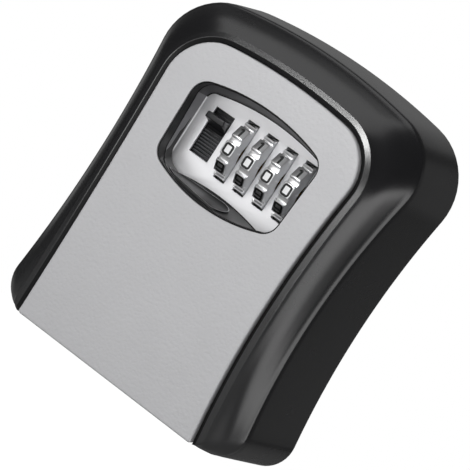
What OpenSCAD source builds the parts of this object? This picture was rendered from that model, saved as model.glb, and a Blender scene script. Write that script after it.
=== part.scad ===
// Combination key safe for a wall: a waisted black shell round a steel tray, and a
// grey door that folds down and carries a four-dial lock behind a window.
// Millimetres. X runs to the right, Z up, and the wall is the plane Y = 0, so every
// depth below is a distance forward of the wall, towards -Y.
// The origin is the centre of the four wall-screw holes.

/* [Body] */
// Height of the body
body_h = 115; // [105:0.5:130]
// Width of the back edge at the waist
waist_w = 92.2; // [88:0.2:104]
// Height of the waist above the middle
waist_z = -5; // [-15:0.5:5]
// Radius of the hollow sides
side_r = 278; // [220:2:400]
// Radius of the top edge
top_r = 197; // [150:1:300]
// Radius of the top corners
corner_r = 19.5; // [17:0.25:23]
// Radius of the bottom corners
foot_r = 10; // [6:0.25:12]
// Distance of the ridge inside the back edge at the sides
ridge_in = 4.2; // [2:0.1:5]
// Distance of the ridge below the back edge at the top
ridge_drop = 1.5; // [0.5:0.1:3]
// Depth of the ridge where it stands furthest forward
ridge_depth = 29.7; // [28:0.1:31]
// Radius of the ridge's curve, seen from the side
ridge_bow = 408; // [300:2:600]
// Height at which the ridge stands furthest forward
ridge_bow_z = -13.6; // [-20:0.2:0]
// Radius of the roll on the ridge
ridge_roll = 1.2; // [0.6:0.1:2]
// Width of the roll round the door opening
rim_roll = 1.8; // [1:0.1:2.5]
// Thickness of the shell
shell_wall = 2.6; // [2:0.1:3.2]

/* [Tray] */
// Thickness of the tray's walls
tray_wall = 1.2; // [1:0.1:1.4]
// Thickness of the tray's wall plate
tray_plate = 1.6; // [1.4:0.1:2]
// Distance of the tray's front edge behind the door's skirt
tray_depth = 5; // [4:0.5:9]
// Gap between the edge of the wall plate and the shell
plate_gap = 0.8; // [0.6:0.1:1.2]
// Distance of the tray's inside from the door's edge
tray_room = 1.6; // [1.4:0.1:2]
// Distance between the wall-screw holes across
wall_screw_x = 44; // [36:1:48]
// Distance between the wall-screw holes up and down
wall_screw_z = 76; // [64:1:80]
// Diameter of the wall-screw holes
wall_screw_d = 5; // [4:0.5:6]
// Distance of the shell's screws inside the back edge at the waist
tray_screw_in = 6.1; // [5.8:0.1:6.4]
// Height of the upper shell screws
tray_screw_hi = 26; // [20:1:30]
// Height of the lower shell screws
tray_screw_lo = -36; // [-40:1:-30]
// Diameter of the shell's screws
tray_screw_d = 2.2; // [1.8:0.1:2.4]
// Length of the shell's screws
tray_screw_l = 10; // [8:0.5:12]

/* [Door] */
// Width of the door at its waist
door_w = 63.1; // [62:0.1:64]
// Height of the door's waist above the middle
door_waist_z = -12.9; // [-18:0.2:-6]
// Radius of the door's hollow sides
door_side_r = 500; // [400:5:700]
// Distance from the top of the body to the top of the door
door_top_gap = 13.1; // [12:0.1:14]
// Radius of the door's top edge
door_top_r = 169; // [140:1:220]
// Radius of the door's top corners
door_corner_r = 14.3; // [12:0.1:17]
// Radius of the door's bottom corners
door_foot_r = 0.8; // [0.6:0.1:1.2]
// Distance from the bottom of the body to the door's bottom edge
door_foot_gap = 1.2; // [0.8:0.1:1.6]
// Depth of the door's front where it stands furthest forward
door_depth = 41; // [40:0.1:43]
// Radius of the door's curve, seen from the side
door_bow = 302; // [260:2:400]
// Height at which the door stands furthest forward
door_bow_z = 0.5; // [-4:0.5:4]
// Thickness of the door
door_wall = 2.6; // [2:0.1:3]
// Thickness of the door's skirt
skirt_wall = 2; // [1.6:0.1:2.4]
// Depth of the skirt behind the door's front
skirt_depth = 10; // [9:0.2:11]
// Gap between the door and the shell
door_gap = 1.2; // [1:0.05:1.3]
// Distance of the shell's rim below the door's face
rim_below = 0.6; // [0.2:0.1:1]

/* [Hinge] */
// Diameter of the hinge pin
pin_d = 2; // [1.6:0.1:2.2]
// Depth of the hinge axis behind the door's front
hinge_depth = 10.4; // [10.2:0.1:10.8]
// Height of the hinge axis above the door's bottom edge
hinge_lift = 3; // [2.8:0.1:3.2]
// Radius of the door's knuckles
knuckle_r = 2.3; // [2.1:0.05:2.4]
// Radius of the tray's ears
ear_r = 2; // [1.8:0.05:2.1]
// Width of each ear
ear_w = 4; // [3:0.25:5]
// Distance of the ears from the middle
ear_x = 24; // [23:0.25:25]
// Length of the knuckle on each side of an ear
knuckle_l = 5; // [4:0.25:5.5]

/* [Window] */
// Width of the window at its top
window_w = 46.8; // [46:0.1:48]
// Distance by which each side of the window leans in towards the bottom
window_lean = 1.6; // [0.5:0.1:2]
// Height of the window's top above the dials' axis
window_up = 16.3; // [15.5:0.1:17]
// Height of the window's bottom below the dials' axis
window_down = 17.1; // [16:0.1:17.5]
// Radius of the window's top edge
window_top_r = 68; // [60:1:90]
// Radius of the window's bottom edge
window_foot_r = 52; // [46:1:80]
// Radius of the window's corners
window_corner_r = 5.5; // [4:0.25:6.5]
// Depth from the door's front to the lock face
window_depth = 12.7; // [12.2:0.1:13]
// Thickness of the liner
bezel_wall = 1.2; // [1:0.1:1.5]
// Thickness of the liner's foot on the lock face
bezel_foot = 1.5; // [1:0.1:2]
// Width of the liner's foot outside its wall
bezel_flange = 1.2; // [0.8:0.1:1.6]
// Distance of the liner's front edge below the door's face
bezel_below = 0.8; // [0.4:0.1:1.2]

/* [Lock] */
// Distance from the top of the door to the dials' axis
lock_drop = 26; // [25.6:0.1:26.5]
// Depth of the dials' axis behind the lock face's front
axle_depth = 3.5; // [3.4:0.05:3.6]
// Thickness of the lock face
face_t = 1; // [0.8:0.05:1.1]
// Width of the chassis
chassis_w = 50.8; // [50.8:0.1:51.4]
// Height of the chassis
chassis_h = 38.8; // [38.4:0.1:39.4]
// Thickness of the chassis walls
chassis_wall = 2; // [1.6:0.1:2]
// Room from the head of the latch screw back to the rear cover
chassis_back = 0.5; // [0.3:0.1:1]
// Thickness of the cheek that carries the axle's left end
cheek_t = 1.3; // [1.1:0.05:1.3]
// Distance of the cheek's back edge in front of the latch plate
cheek_back = 1.4; // [0.6:0.1:2]
// Radius of the corner posts in the chassis
post_r = 2.4; // [2.2:0.05:2.6]
// Distance of the corner posts from the chassis' outside
post_in = 2.8; // [2.6:0.05:3]
// Gap between the door's screw posts and the lock face
lug_x = 0.1; // [0.1:0.05:0.3]
// Height of the screw lugs above and below the dials' axis
lug_z = 16; // [15:0.1:16]
// Radius of the screw lugs
lug_r = 2.6; // [2.4:0.05:2.7]
// Thickness of the screw lugs
lug_t = 3.3; // [3:0.1:4]
// Radius of the door's screw posts
boss_r = 2.1; // [1.9:0.05:2.15]
// Diameter of the lock's screws
lock_screw_d = 1.9; // [1.6:0.1:2]
// Length of the screws into the door
chassis_screw_l = 9; // [8:0.25:9.5]
// Length of the cover's screws
cover_screw_l = 6; // [5:0.25:8]
// Thickness of the rear cover
cover_t = 1.2; // [1:0.05:1.4]

/* [Dials] */
// Gap between the reset lever, moved across, and the chassis' right wall
dial_x = 0.48; // [0.3:0.02:0.6]
// Distance from one dial to the next
dial_pitch = 7.22; // [7.2:0.01:7.25]
// Width of a dial
dial_w = 3.7; // [3.6:0.02:3.8]
// Distance from the axis to a dial's flats
dial_r = 9.9; // [9.6:0.05:10]
// Depth of the valley between two flats
valley_deep = 1; // [0.8:0.05:1.1]
// Width of the valley between two flats
valley_w = 2.2; // [1.8:0.1:2.4]
// Gap between a dial and its slot
slot_gap = 0.3; // [0.25:0.01:0.35]
// Diameter of the axle
axle_d = 1.8; // [1.6:0.05:1.9]
// Radius of a hub's grooved part
hub_r = 4.4; // [4.2:0.05:4.6]
// Depth of a hub's grooves
groove_deep = 1; // [0.8:0.05:1.1]
// Width of the dial's tooth
tooth_w = 0.9; // [0.7:0.05:1]
// Radius of a hub's neck
neck_r = 1.45; // [1.4:0.01:1.5]
// Radius of a hub's gate ring
ring_r = 2.2; // [2.1:0.02:2.3]
// Thickness of a hub's gate ring
ring_t = 1; // [0.9:0.02:1.1]
// Distance from the axis to the flat on the gate ring
gate_flat = 1.45; // [1.4:0.01:1.5]
// Sideways travel of the reset lever
reset_travel = 1.5; // [1.4:0.02:1.5]
// Radial clearance of parts that turn or slide in each other
run = 0.05; // [0.03:0.01:0.08]

/* [Slider] */
// Gap between the clip on the axle and the cheek beside the slider
slider_x = 0.34; // [0.3:0.02:0.5]
// Width of the slider's slot
slider_slot_w = 6.8; // [6.6:0.05:6.8]
// Height of the slider's slot
slider_slot_h = 15.1; // [14.6:0.1:15.6]
// Travel of the slider
slider_travel = 6; // [5:0.1:6]
// Lap of the slider behind the edges of its slot
slider_lap = 0.3; // [0.25:0.01:0.4]
// Thickness of the slider's ribbed plate
slider_t = 1; // [0.9:0.05:1.1]
// Height of the ledge's middle above the dials' axis
ledge_z = 4.75; // [4:0.05:5]
// Height of the ledge
ledge_h = 1.9; // [1.6:0.1:2.2]
// Distance by which the ledge stands out of the lock face
ledge_out = 4.6; // [4:0.1:5]
// Height of the slope under the ledge
ledge_slope = 4.2; // [2:0.1:4.6]
// Distance from one rib to the next
rib_pitch = 0.95; // [0.9:0.01:1.1]
// Depth of the grooves between the ribs
rib_deep = 0.35; // [0.25:0.01:0.4]
// Thickness of the latch plate
latch_t = 1.2; // [1:0.05:1.2]
// Distance by which the latch plate stays back from the dials
latch_back = 0.3; // [0.25:0.05:0.6]
// Width of the bolt
bolt_w = 16; // [12:0.5:20]
// Width of a gate blade
blade_w = 0.8; // [0.7:0.02:0.85]
// Gap between the bolt's top and the keeper
keeper_gap = 1.4; // [1.3:0.05:1.6]
// Thickness of the keeper
keeper_t = 1.2; // [1:0.05:1.4]
// Length of the keeper along the depth
keeper_l = 5; // [4:0.25:5.5]
// Distance from the bolt's side to the keeper's end
keeper_side = 5; // [4.5:0.25:6]
// Diameter of the latch spring
spring_d = 4; // [3.4:0.1:4.4]
// Diameter of the latch spring's wire
spring_wire = 0.5; // [0.4:0.05:0.6]
// Turns of the latch spring
spring_turns = 7; // [5:1:8]

/* [Hidden] */

$fn = 48;
arc_n = 10;      // segments in each arc of an outline
over = 1;        // overrun of a cut past the face that it opens
fit = 0.02;      // radial clearance of parts fixed in each other
seat = 0.3;      // clearance between neighbours on different bodies

top_z = body_h / 2;
foot_z = -body_h / 2;
door_top = top_z - door_top_gap;
door_foot = foot_z + door_foot_gap;
hinge_z = door_foot + hinge_lift;
lock_z = door_top - lock_drop;
hinge_at = door_depth - hinge_depth;
skirt_back = door_depth - skirt_depth;
tray_front = skirt_back - tray_depth;
face_front = door_depth - window_depth;
face_back = face_front - face_t;
axis_depth = face_front - axle_depth;

head_t = 1.2;        // height of a screw's head
dial_reach = norm([dial_r, dial_r * tan(18) - valley_w / 2]);
latch_front = axis_depth - dial_reach - latch_back;
latch_rear = latch_front - latch_t;
chassis_rear = latch_rear - head_t - chassis_back;
cover_back = chassis_rear - cover_t;

hub_gap = 0.2;       // gap between one hub and the next
hub_over = 0.4;      // distance by which a hub passes the middle of the gap between two dials
reset_arm_t = 1.2;   // thickness of the reset lever's arm
arm_off = dial_pitch / 2 + hub_over + hub_gap;
last_dial = chassis_w / 2 - chassis_wall - dial_x - reset_travel - reset_arm_t - arm_off;
dials = [for (i = [3:-1:0]) last_dial - i * dial_pitch];
function hub_end(x) = x + dial_pitch / 2 + hub_over;
function hub_start(x) = hub_end(x) - dial_pitch + hub_gap;

clip_t = 0.55;       // thickness of the clip on the axle
clip_x = hub_start(dials[0]) - hub_gap / 2 - clip_t;
cheek_x = clip_x - slider_x - cheek_t;
slider_plate_w = slider_slot_w + 2 * slider_lap;
slider_mid = cheek_x - seat - slider_plate_w / 2;
lug_off = chassis_w / 2 + lug_x + boss_r;

// An outline is [half width at the waist, height of the waist, radius of the sides,
// top, radius of the top, radius of the top corners, bottom, radius of the bottom corners].
function back_edge() = [waist_w / 2, waist_z, side_r, top_z, top_r, corner_r, foot_z, foot_r];
function door_edge() = [door_w / 2, door_waist_z, door_side_r, door_top, door_top_r, door_corner_r,
    door_foot, door_foot_r];

// The same outline grown by d all round except at the bottom, which moves by e.
function grown(o, d, e) = [o[0] + d, o[1], o[2] - d, o[3] + d, o[4] + d, o[5] + d, o[6] - e,
    max(o[7] + d, 0)];

// Two outlines blended: a at t = 0 and b at t = 1.
function blend(a, b, t) = [for (i = [0:7]) a[i] * (1 - t) + b[i] * t];

// Points of an arc about c from angle a to angle b.
function arc(c, r, a, b, n) = [for (i = [0:n])
    let (t = a + (b - a) * i / n) [c[0] + r * cos(t), c[1] + r * sin(t)]];

// The right half of an outline, from the middle of the bottom up to the middle of the top:
// bottom corner, hollow side, top corner and top arc, each tangent to the next.
function half_outline(o) =
    let (
        side = [o[0] + o[2], o[1]],
        crown = [0, o[3] - o[4]],
        foot_y = o[6] + o[7],
        foot_c = [side[0] - sqrt((o[2] + o[7]) ^ 2 - (side[1] - foot_y) ^ 2), foot_y],
        span = norm(side - crown),
        ra = o[2] + o[5],
        rb = o[4] - o[5],
        along = (span ^ 2 + ra ^ 2 - rb ^ 2) / (2 * span),
        across = sqrt(ra ^ 2 - along ^ 2),
        dir = (crown - side) / span,
        head_c = side + dir * along + [-dir[1], dir[0]] * -across,
        a_foot = atan2(side[1] - foot_c[1], side[0] - foot_c[0]),
        a_head = atan2(side[1] - head_c[1], side[0] - head_c[0]),
        a_crown = atan2(head_c[1] - crown[1], head_c[0] - crown[0])
    )
    concat(
        [[0, o[6]]],
        arc(foot_c, o[7], -90, a_foot, arc_n),
        [for (i = [1:2 * arc_n - 1])
            let (t = a_foot + (a_head - a_foot) * i / (2 * arc_n))
            [side[0] - o[2] * cos(t), side[1] - o[2] * sin(t)]],
        arc(head_c, o[5], a_head, a_crown, arc_n),
        [for (i = [1:arc_n]) let (t = a_crown + (90 - a_crown) * i / arc_n)
            crown + o[4] * [cos(t), sin(t)]]
    );

// The whole outline, counter-clockwise, without the doubled points on the middle line.
function outline(o) =
    let (h = half_outline(o), n = len(h))
    concat(h, [for (i = [1:n - 2]) [-h[n - 1 - i][0], h[n - 1 - i][1]]]);

// Sheet of the drawing in the XZ plane, from depth a to depth b.
module slab(a, b) {
    translate([0, -a, 0]) rotate([90, 0, 0]) linear_extrude(b - a) children();
}

// Round bar along the depth, from depth a to depth b.
module stud(x, z, r, a, b) {
    slab(a, b) translate([x, z]) circle(r);
}

// Box from x0 to x1, depth a to depth b and z0 to z1.
module block(x0, x1, a, b, z0, z1) {
    translate([x0, -b, z0]) cube([x1 - x0, b - a, z1 - z0]);
}

// Round bar across, from x0 to x1, on the axis at the given depth and height.
module bar(x0, x1, depth, z, r) {
    translate([x0, -depth, z]) rotate([0, 90, 0]) cylinder(r = r, h = x1 - x0);
}

// Everything behind the door's curved front, set back by d.
module behind_front(d) {
    translate([-body_h, door_bow - door_depth, door_bow_z]) rotate([0, 90, 0])
        cylinder(r = door_bow - d, h = 2 * body_h, $fn = 360);
}

/* Shell */

function ridge_at(z) = ridge_depth - (z - ridge_bow_z) ^ 2 / (2 * ridge_bow);
function front_at(z) = door_depth - (z - door_bow_z) ^ 2 / (2 * door_bow);
function ridge_edge() = [waist_w / 2 - ridge_in, waist_z - ridge_lower, side_r, top_z - ridge_drop,
    top_r - ridge_rounder, corner_r - ridge_sharper, foot_z, foot_r];
function opening_edge(d) = [door_w / 2 + door_gap + d, door_waist_z, door_side_r - door_gap - d,
    door_top + door_gap + d, door_top_r + door_gap + d, door_corner_r + door_gap + d, foot_z,
    door_foot_r + d];

// A ring of the shell's skin: an outline, a share of the way from the ridge's depth
// to the rim's depth, and a further step forward.
function ring(o, t, step) = [for (p = outline(o))
    [p[0], -(ridge_at(p[1]) * (1 - t) + (front_at(p[1]) - rim_below) * t + step), p[1]]];

ridge_lower = 3;     // drop of the ridge's waist below the back edge's
ridge_rounder = 25;  // radius that the ridge's top lacks against the back edge's
ridge_sharper = 2.1; // radius that the ridge's corners lack against the back edge's
bevel_swell = 0.62;  // share of the rise that the bevel has made half way in
rim_step = 0.5;      // fall of the rim's roll at its outer edge
rim_fall = 1.4;      // fall of the rim inside the opening
rim_lip = 0.6;       // lap of the skin into the opening before it is cut
lip_depth = 1.5;     // depth of the rim's inner wall, in shell thicknesses
ridge_soft = 0.75;   // depth of the skin at the ridge, in shell thicknesses
roll_out = 0.25;     // growth of the side below the ridge, in rolls
roll_low = 0.3;      // fall of the ridge's own line, in rolls
roll_high = 0.6;     // rise of the bevel's first line, in rolls
half_way = 0.5;      // place of the middle line between the ridge and the rim
rim_crest = 0.4;     // place of the rim's highest line, in rim rolls
mid_skin = 0.5;      // inset of the inside at the middle line, in shell thicknesses

outer_rings = [
    [for (p = outline(back_edge())) [p[0], 0, p[1]]],
    ring(grown(ridge_edge(), ridge_roll * roll_out, 0), 0, -ridge_roll),
    ring(ridge_edge(), 0, -ridge_roll * roll_low),
    ring(grown(ridge_edge(), -ridge_roll, 0), 0, ridge_roll * roll_high),
    ring(blend(ridge_edge(), opening_edge(rim_roll), half_way), bevel_swell, 0),
    ring(opening_edge(rim_roll), 1, -rim_step),
    ring(opening_edge(rim_roll * rim_crest), 1, 0),
    ring(opening_edge(-rim_lip), 1, -rim_fall)];

inner_rings = [
    [for (p = outline(grown(back_edge(), -shell_wall, -shell_wall))) [p[0], over, p[1]]],
    ring(grown(ridge_edge(), -shell_wall, -shell_wall), 0, -shell_wall * ridge_soft),
    ring(grown(blend(ridge_edge(), opening_edge(rim_roll), half_way), -shell_wall * mid_skin,
        -shell_wall), bevel_swell, -shell_wall),
    ring(grown(opening_edge(-rim_lip), 0, -shell_wall), 1, -rim_fall - shell_wall * lip_depth)];

// Closed skin through rings of equal length, capped at both ends.
module loft(rings) {
    n = len(rings[0]);
    m = len(rings);
    last = rings[m - 1];
    hub = [0, last[0][1], 0];
    points = concat([for (r = rings) each r], [hub]);
    walls = [for (k = [0:m - 2]) for (i = [0:n - 1])
        let (a = k * n + i, b = k * n + (i + 1) % n)
        each [[a, a + n, b + n], [a, b + n, b]]];
    cap = [for (i = [0:n - 1]) [(m - 1) * n + i, m * n, (m - 1) * n + (i + 1) % n]];
    foot = [[for (i = [0:n - 1]) i]];
    polyhedron(points, concat(walls, cap, foot), convexity = 6);
}

tray_screw_x = waist_w / 2 - tray_screw_in;
tray_screws_at = [for (x = [-tray_screw_x, tray_screw_x]) for (z = [tray_screw_lo, tray_screw_hi])
    [x, z]];
tray_boss_r = 3;      // radius of the shell's screw posts
tray_boss_web = 2.4;  // thickness of the web between a screw post and the shell's side
web_reach = 0.6;      // distance by which the web runs past its post, into the side
boss_depth = 20;      // depth of the posts' front ends
lip_clear = 4.8;      // distance from the hinge axis back to the shell's bottom edge

// Screw post inside the shell, with a web to the shell's side.
module shell_boss(p) {
    side_x = sign(p[0]) * (tray_screw_x + tray_boss_r + web_reach);
    stud(p[0], p[1], tray_boss_r, tray_plate, boss_depth);
    block(min(p[0], side_x), max(p[0], side_x), tray_screw_l, boss_depth,
        p[1] - tray_boss_web / 2, p[1] + tray_boss_web / 2);
}

module outer_shell() {
    color("#232325") difference() {
        union() {
            difference() {
                loft(outer_rings);
                loft(inner_rings);
            }
            for (p = tray_screws_at) shell_boss(p);
        }
        slab(hinge_at - lip_clear, door_depth + over) polygon(outline(
            [for (i = [0:7]) i == 6 ? foot_z - foot_r : opening_edge(0)[i]]));
        for (p = tray_screws_at)
            stud(p[0], p[1], tray_screw_d / 2 + fit, 0, tray_screw_l + over);
    }
}

/* Tray */

function tray_edge(d) = grown(door_edge(), tray_room + d, d - tray_drop);
tray_drop = foot_z + shell_wall + seat + tray_wall - door_foot;
box_foot = door_foot + tray_drop;
ear_reach = 5.6;     // distance from the hinge axis back to the tray's bottom wall
ear_root = 17.6;     // length of an ear's arm back from the hinge axis
ear_slope = 0.7;     // height of the ear's arm above the axis, in ear radii
csk = 2.1;           // head of a countersunk screw, in shank diameters

module inner_box() {
    color("#8d9094") difference() {
        union() {
            slab(0, tray_plate)
                polygon(outline(grown(back_edge(), -shell_wall - plate_gap, -shell_wall - seat)));
            difference() {
                slab(tray_plate / 2, tray_front) polygon(outline(tray_edge(tray_wall)));
                slab(tray_plate, tray_front + over) polygon(outline(tray_edge(0)));
                block(-door_w, door_w, hinge_at - ear_reach, door_depth, foot_z, hinge_z + ear_r);
            }
            for (x = [-ear_x, ear_x]) {
                block(x - ear_w / 2, x + ear_w / 2, hinge_at - ear_root, hinge_at,
                    box_foot - tray_wall, hinge_z + ear_r * ear_slope);
                bar(x - ear_w / 2, x + ear_w / 2, hinge_at, hinge_z, ear_r);
            }
        }
        bar(-door_w, door_w, hinge_at, hinge_z, pin_d / 2 + fit);
        for (x = [-0.5, 0.5]) for (z = [-0.5, 0.5])
            stud(x * wall_screw_x, z * wall_screw_z, wall_screw_d / 2, -over, tray_plate + over);
        for (p = tray_screws_at) tray_screw(p, fit);
        for (x = rivets_x)
            stud_up(x, rivet_depth, rivet_r + fit, door_top, tray_roof + tray_wall + over);
    }
}

// Screw with a countersunk head flush with the wall plane; g grows it for its hole.
module tray_screw(p, g) {
    r = tray_screw_d / 2;
    translate([p[0], 0, p[1]]) rotate([90, 0, 0]) {
        cylinder(r1 = r * csk + g, r2 = r + g, h = head_t);
        cylinder(r = r + g, h = tray_screw_l);
    }
}

module tray_screws() {
    color("#b9bcc0") for (p = tray_screws_at) tray_screw(p, 0);
}

pin_l = 2 * (ear_x + ear_w / 2 + seat + knuckle_l);

module hinge_pin() {
    color("#b9bcc0") bar(-pin_l / 2, pin_l / 2, hinge_at, hinge_z, pin_d / 2);
}

// Round bar upwards, from z0 to z1.
module stud_up(x, depth, r, z0, z1) {
    translate([x, -depth, z0]) cylinder(r = r, h = z1 - z0);
}

rivet_r = 1;         // radius of the keeper's rivets
rivet_head_r = 1.6;  // radius of a rivet's head
rivet_head = 0.6;    // height of a rivet's head
tray_roof = door_top + tray_room;
roof_r = door_top_r + tray_room;
keeper_x = bolt_w / 2 + keeper_side;
keeper_roof = tray_roof - roof_r + sqrt(roof_r ^ 2 - keeper_x ^ 2) - fit;
keeper_rear = latch_front + 2 * seat;
rivet_depth = keeper_rear + keeper_l / 2;
rivets_x = [-keeper_x + keeper_side / 2, keeper_x - keeper_side / 2];
bolt_top = keeper_roof - keeper_t - keeper_gap;

module keeper() {
    color("#a9adb2") difference() {
        block(-keeper_x, keeper_x, keeper_rear, keeper_rear + keeper_l,
            keeper_roof - keeper_t, keeper_roof);
        for (x = rivets_x)
            stud_up(x, rivet_depth, rivet_r + fit, keeper_roof - keeper_t - over, keeper_roof + over);
    }
}

module keeper_rivets() {
    color("#b9bcc0") for (x = rivets_x) {
        stud_up(x, rivet_depth, rivet_r, keeper_roof - keeper_t - rivet_head / 2, tray_roof + tray_wall);
        stud_up(x, rivet_depth, rivet_head_r, keeper_roof - keeper_t - rivet_head, keeper_roof - keeper_t);
    }
}

/* Door */

module window_shape(d) {
    up = lock_z + window_up;
    down = lock_z - window_down;
    offset(r = window_corner_r + d) offset(delta = -window_corner_r) intersection() {
        translate([0, up - window_top_r]) circle(window_top_r, $fn = 120);
        translate([0, down + window_foot_r]) circle(window_foot_r, $fn = 120);
        polygon([[-window_w / 2, up], [-window_w / 2 + window_lean, down],
            [window_w / 2 - window_lean, down], [window_w / 2, up]]);
    }
}

lugs = [for (x = [-lug_off, lug_off]) for (z = [lock_z - lug_z, lock_z + lug_z]) [x, z]];
knuckle_joint = 1.7;  // half height of the web between a knuckle and the door
skirt_foot = 13.4;    // depth of the bottom skirt behind the door's front

module door_panel() {
    color("#bcbcbf") difference() {
        union() {
            intersection() {
                slab(skirt_back, door_depth + over) polygon(outline(door_edge()));
                difference() {
                    behind_front(0);
                    difference() {
                        behind_front(door_wall);
                        slab(0, door_depth) difference() {
                            polygon(outline(grown(door_edge(), over, over)));
                            polygon(outline(grown(door_edge(), -skirt_wall, -skirt_wall)));
                        }
                    }
                }
            }
            intersection() {
                behind_front(door_wall / 2);
                union() {
                    intersection() {
                        slab(face_back, door_depth) polygon(outline(door_edge()));
                        for (p = lugs) stud(p[0], p[1], boss_r, face_back, door_depth);
                    }
                    block(-door_w / 2, door_w / 2, door_depth - skirt_foot, door_depth,
                        door_foot, door_foot + skirt_wall);
                    for (x = [-ear_x, ear_x]) for (s = [-1, 1]) door_knuckle(x, s);
                }
            }
        }
        slab(face_front, door_depth + over) window_shape(0);
        for (p = lugs)
            stud(p[0], p[1], lock_screw_d / 2 + fit, face_back - over, lug_back + chassis_screw_l + over);
        for (x = [-ear_x, ear_x])
            block(x - ear_w / 2 - seat, x + ear_w / 2 + seat, door_depth - skirt_foot - over,
                hinge_at + ear_r + seat, door_foot - over, hinge_z + ear_r + seat);
        bar(-pin_l / 2 - over, pin_l / 2 + over, hinge_at, hinge_z, pin_d / 2 + run);
    }
}

// Knuckle beside the ear at x, on the side s, with its web to the door.
module door_knuckle(x, s) {
    a = x + s * (ear_w / 2 + seat);
    b = a + s * knuckle_l;
    bar(min(a, b), max(a, b), hinge_at, hinge_z, knuckle_r);
    block(min(a, b), max(a, b), hinge_at, door_depth, hinge_z - knuckle_joint, hinge_z + knuckle_joint);
}

module window_bezel() {
    color("#1d1d1f") difference() {
        union() {
            intersection() {
                slab(face_front, door_depth) window_shape(-fit);
                behind_front(bezel_below);
            }
            slab(face_front, face_front + bezel_foot) window_shape(bezel_flange);
        }
        slab(face_front - over, door_depth + over) window_shape(-bezel_wall);
    }
}

/* Lock */

lug_back = face_back - lug_t;
lock_lo = lock_z - chassis_h / 2;
lock_hi = lock_z + chassis_h / 2;
posts = [for (x = [-1, 1]) for (z = [lock_lo + post_in, lock_hi - post_in])
    [x * (chassis_w / 2 - post_in), z]];
dial_slot_h = 2 * (sqrt(dial_reach ^ 2 - axle_depth ^ 2) + slot_gap);
dial_slot_w = dial_w + 2 * slot_gap;
slider_gap = 0.2;    // gap between the ledge and the sides of its slot
stem_w = 4.6;        // width of the slider's stem
stem_x = slider_mid - slider_slot_w / 2 + slider_gap;

module lock_face() {
    color("#cfcfd2") difference() {
        block(-chassis_w / 2, chassis_w / 2, face_back, face_front, lock_lo, lock_hi);
        for (x = dials)
            block(x - dial_slot_w / 2, x + dial_slot_w / 2, face_back - over, face_front + over,
                lock_z - dial_slot_h / 2, lock_z + dial_slot_h / 2);
        block(slider_mid - slider_slot_w / 2, slider_mid + slider_slot_w / 2, face_back - over,
            face_front + over, lock_z - slider_slot_h / 2, lock_z + slider_slot_h / 2);
    }
}

module lock_chassis() {
    w = chassis_w / 2;
    color("#9c9fa3") difference() {
        union() {
            difference() {
                block(-w, w, chassis_rear, face_back, lock_lo, lock_hi);
                block(-w + chassis_wall, w - chassis_wall, chassis_rear - over, face_back + over,
                    lock_lo + chassis_wall, lock_hi - chassis_wall);
            }
            block(cheek_x, cheek_x + cheek_t, latch_front + cheek_back, face_back, lock_lo, lock_hi);
            for (p = posts) stud(p[0], p[1], post_r, chassis_rear, face_back);
            for (p = lugs) {
                wall_x = sign(p[0]) * (w - chassis_wall);
                stud(p[0], p[1], lug_r, lug_back, face_back);
                block(min(p[0], wall_x), max(p[0], wall_x), lug_back, face_back, p[1] - lug_r, p[1] + lug_r);
            }
        }
        for (p = lugs) stud(p[0], p[1], lock_screw_d / 2 + fit, lug_back - over, face_back + over);
        for (p = posts)
            stud(p[0], p[1], lock_screw_d / 2 + fit, chassis_rear - over, chassis_rear + cover_screw_l);
        bar(cheek_x - over, w + over, axis_depth, lock_z, axle_d / 2 + run);
        block(-bolt_w / 2 - seat, bolt_w / 2 + seat, latch_rear - seat, latch_front + seat,
            lock_hi - chassis_wall - over, lock_hi + over);
    }
}

// Pan-head screw that points forward; the head's seat is at the given depth.
module lock_screw(p, depth, l) {
    stud(p[0], p[1], lock_screw_d / 2, depth - head_t / 2, depth + l);
    stud(p[0], p[1], lock_screw_d, depth - head_t, depth);
}

module chassis_screws() {
    color("#b9bcc0") for (p = lugs) lock_screw(p, lug_back, chassis_screw_l);
}

reset_arm_x = last_dial + arm_off;
reset_arm_h = 3.4;   // height of the reset lever's arm
reset_slot_gap = 0.3; // gap round the arm in the rear cover
thumb_t = 2.2;       // thickness of the lever's thumb piece
thumb_w = 5;         // width of the thumb piece
thumb_h = 6;         // height of the thumb piece
thumb_gap = 0.4;     // gap between the thumb piece and the rear cover

module rear_cover() {
    color("#85888c") difference() {
        block(-chassis_w / 2, chassis_w / 2, cover_back, chassis_rear, lock_lo, lock_hi);
        for (p = posts) stud(p[0], p[1], lock_screw_d / 2 + fit, cover_back - over, chassis_rear + over);
        block(reset_arm_x - reset_slot_gap, reset_arm_x + reset_arm_t + reset_travel + reset_slot_gap,
            cover_back - over, chassis_rear + over,
            lock_z - reset_arm_h / 2 - reset_slot_gap, lock_z + reset_arm_h / 2 + reset_slot_gap);
    }
}

module rear_cover_screws() {
    color("#b9bcc0") for (p = posts) lock_screw(p, cover_back, cover_screw_l);
}

leaf_t = 0.4;        // thickness of the leaf spring
leaf_w = 1.6;        // width of one finger
nose_r = 0.7;        // radius of a finger's nose
nose_in = 0.4;       // lap of the nose into the dial's valley
leaf_root = 8;       // distance of the leaf's upright behind the dials' axis

// Leaf spring on the chassis' floor, with one finger and one nose under each dial.
module detent_spring() {
    floor_z = lock_lo + chassis_wall;
    nose_z = lock_z - dial_r + nose_in - nose_r;
    color("#c3c6ca") {
        block(dials[0] - leaf_w / 2, dials[3] + leaf_w / 2, axis_depth - leaf_root, axis_depth,
            floor_z, floor_z + leaf_t);
        for (x = dials) {
            block(x - leaf_w / 2, x + leaf_w / 2, axis_depth - leaf_root, axis_depth - leaf_root + leaf_t,
                floor_z, nose_z);
            block(x - leaf_w / 2, x + leaf_w / 2, axis_depth - leaf_root, axis_depth + nose_r,
                nose_z - leaf_t, nose_z);
            bar(x - leaf_w / 2, x + leaf_w / 2, axis_depth, nose_z, nose_r);
        }
    }
}

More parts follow.
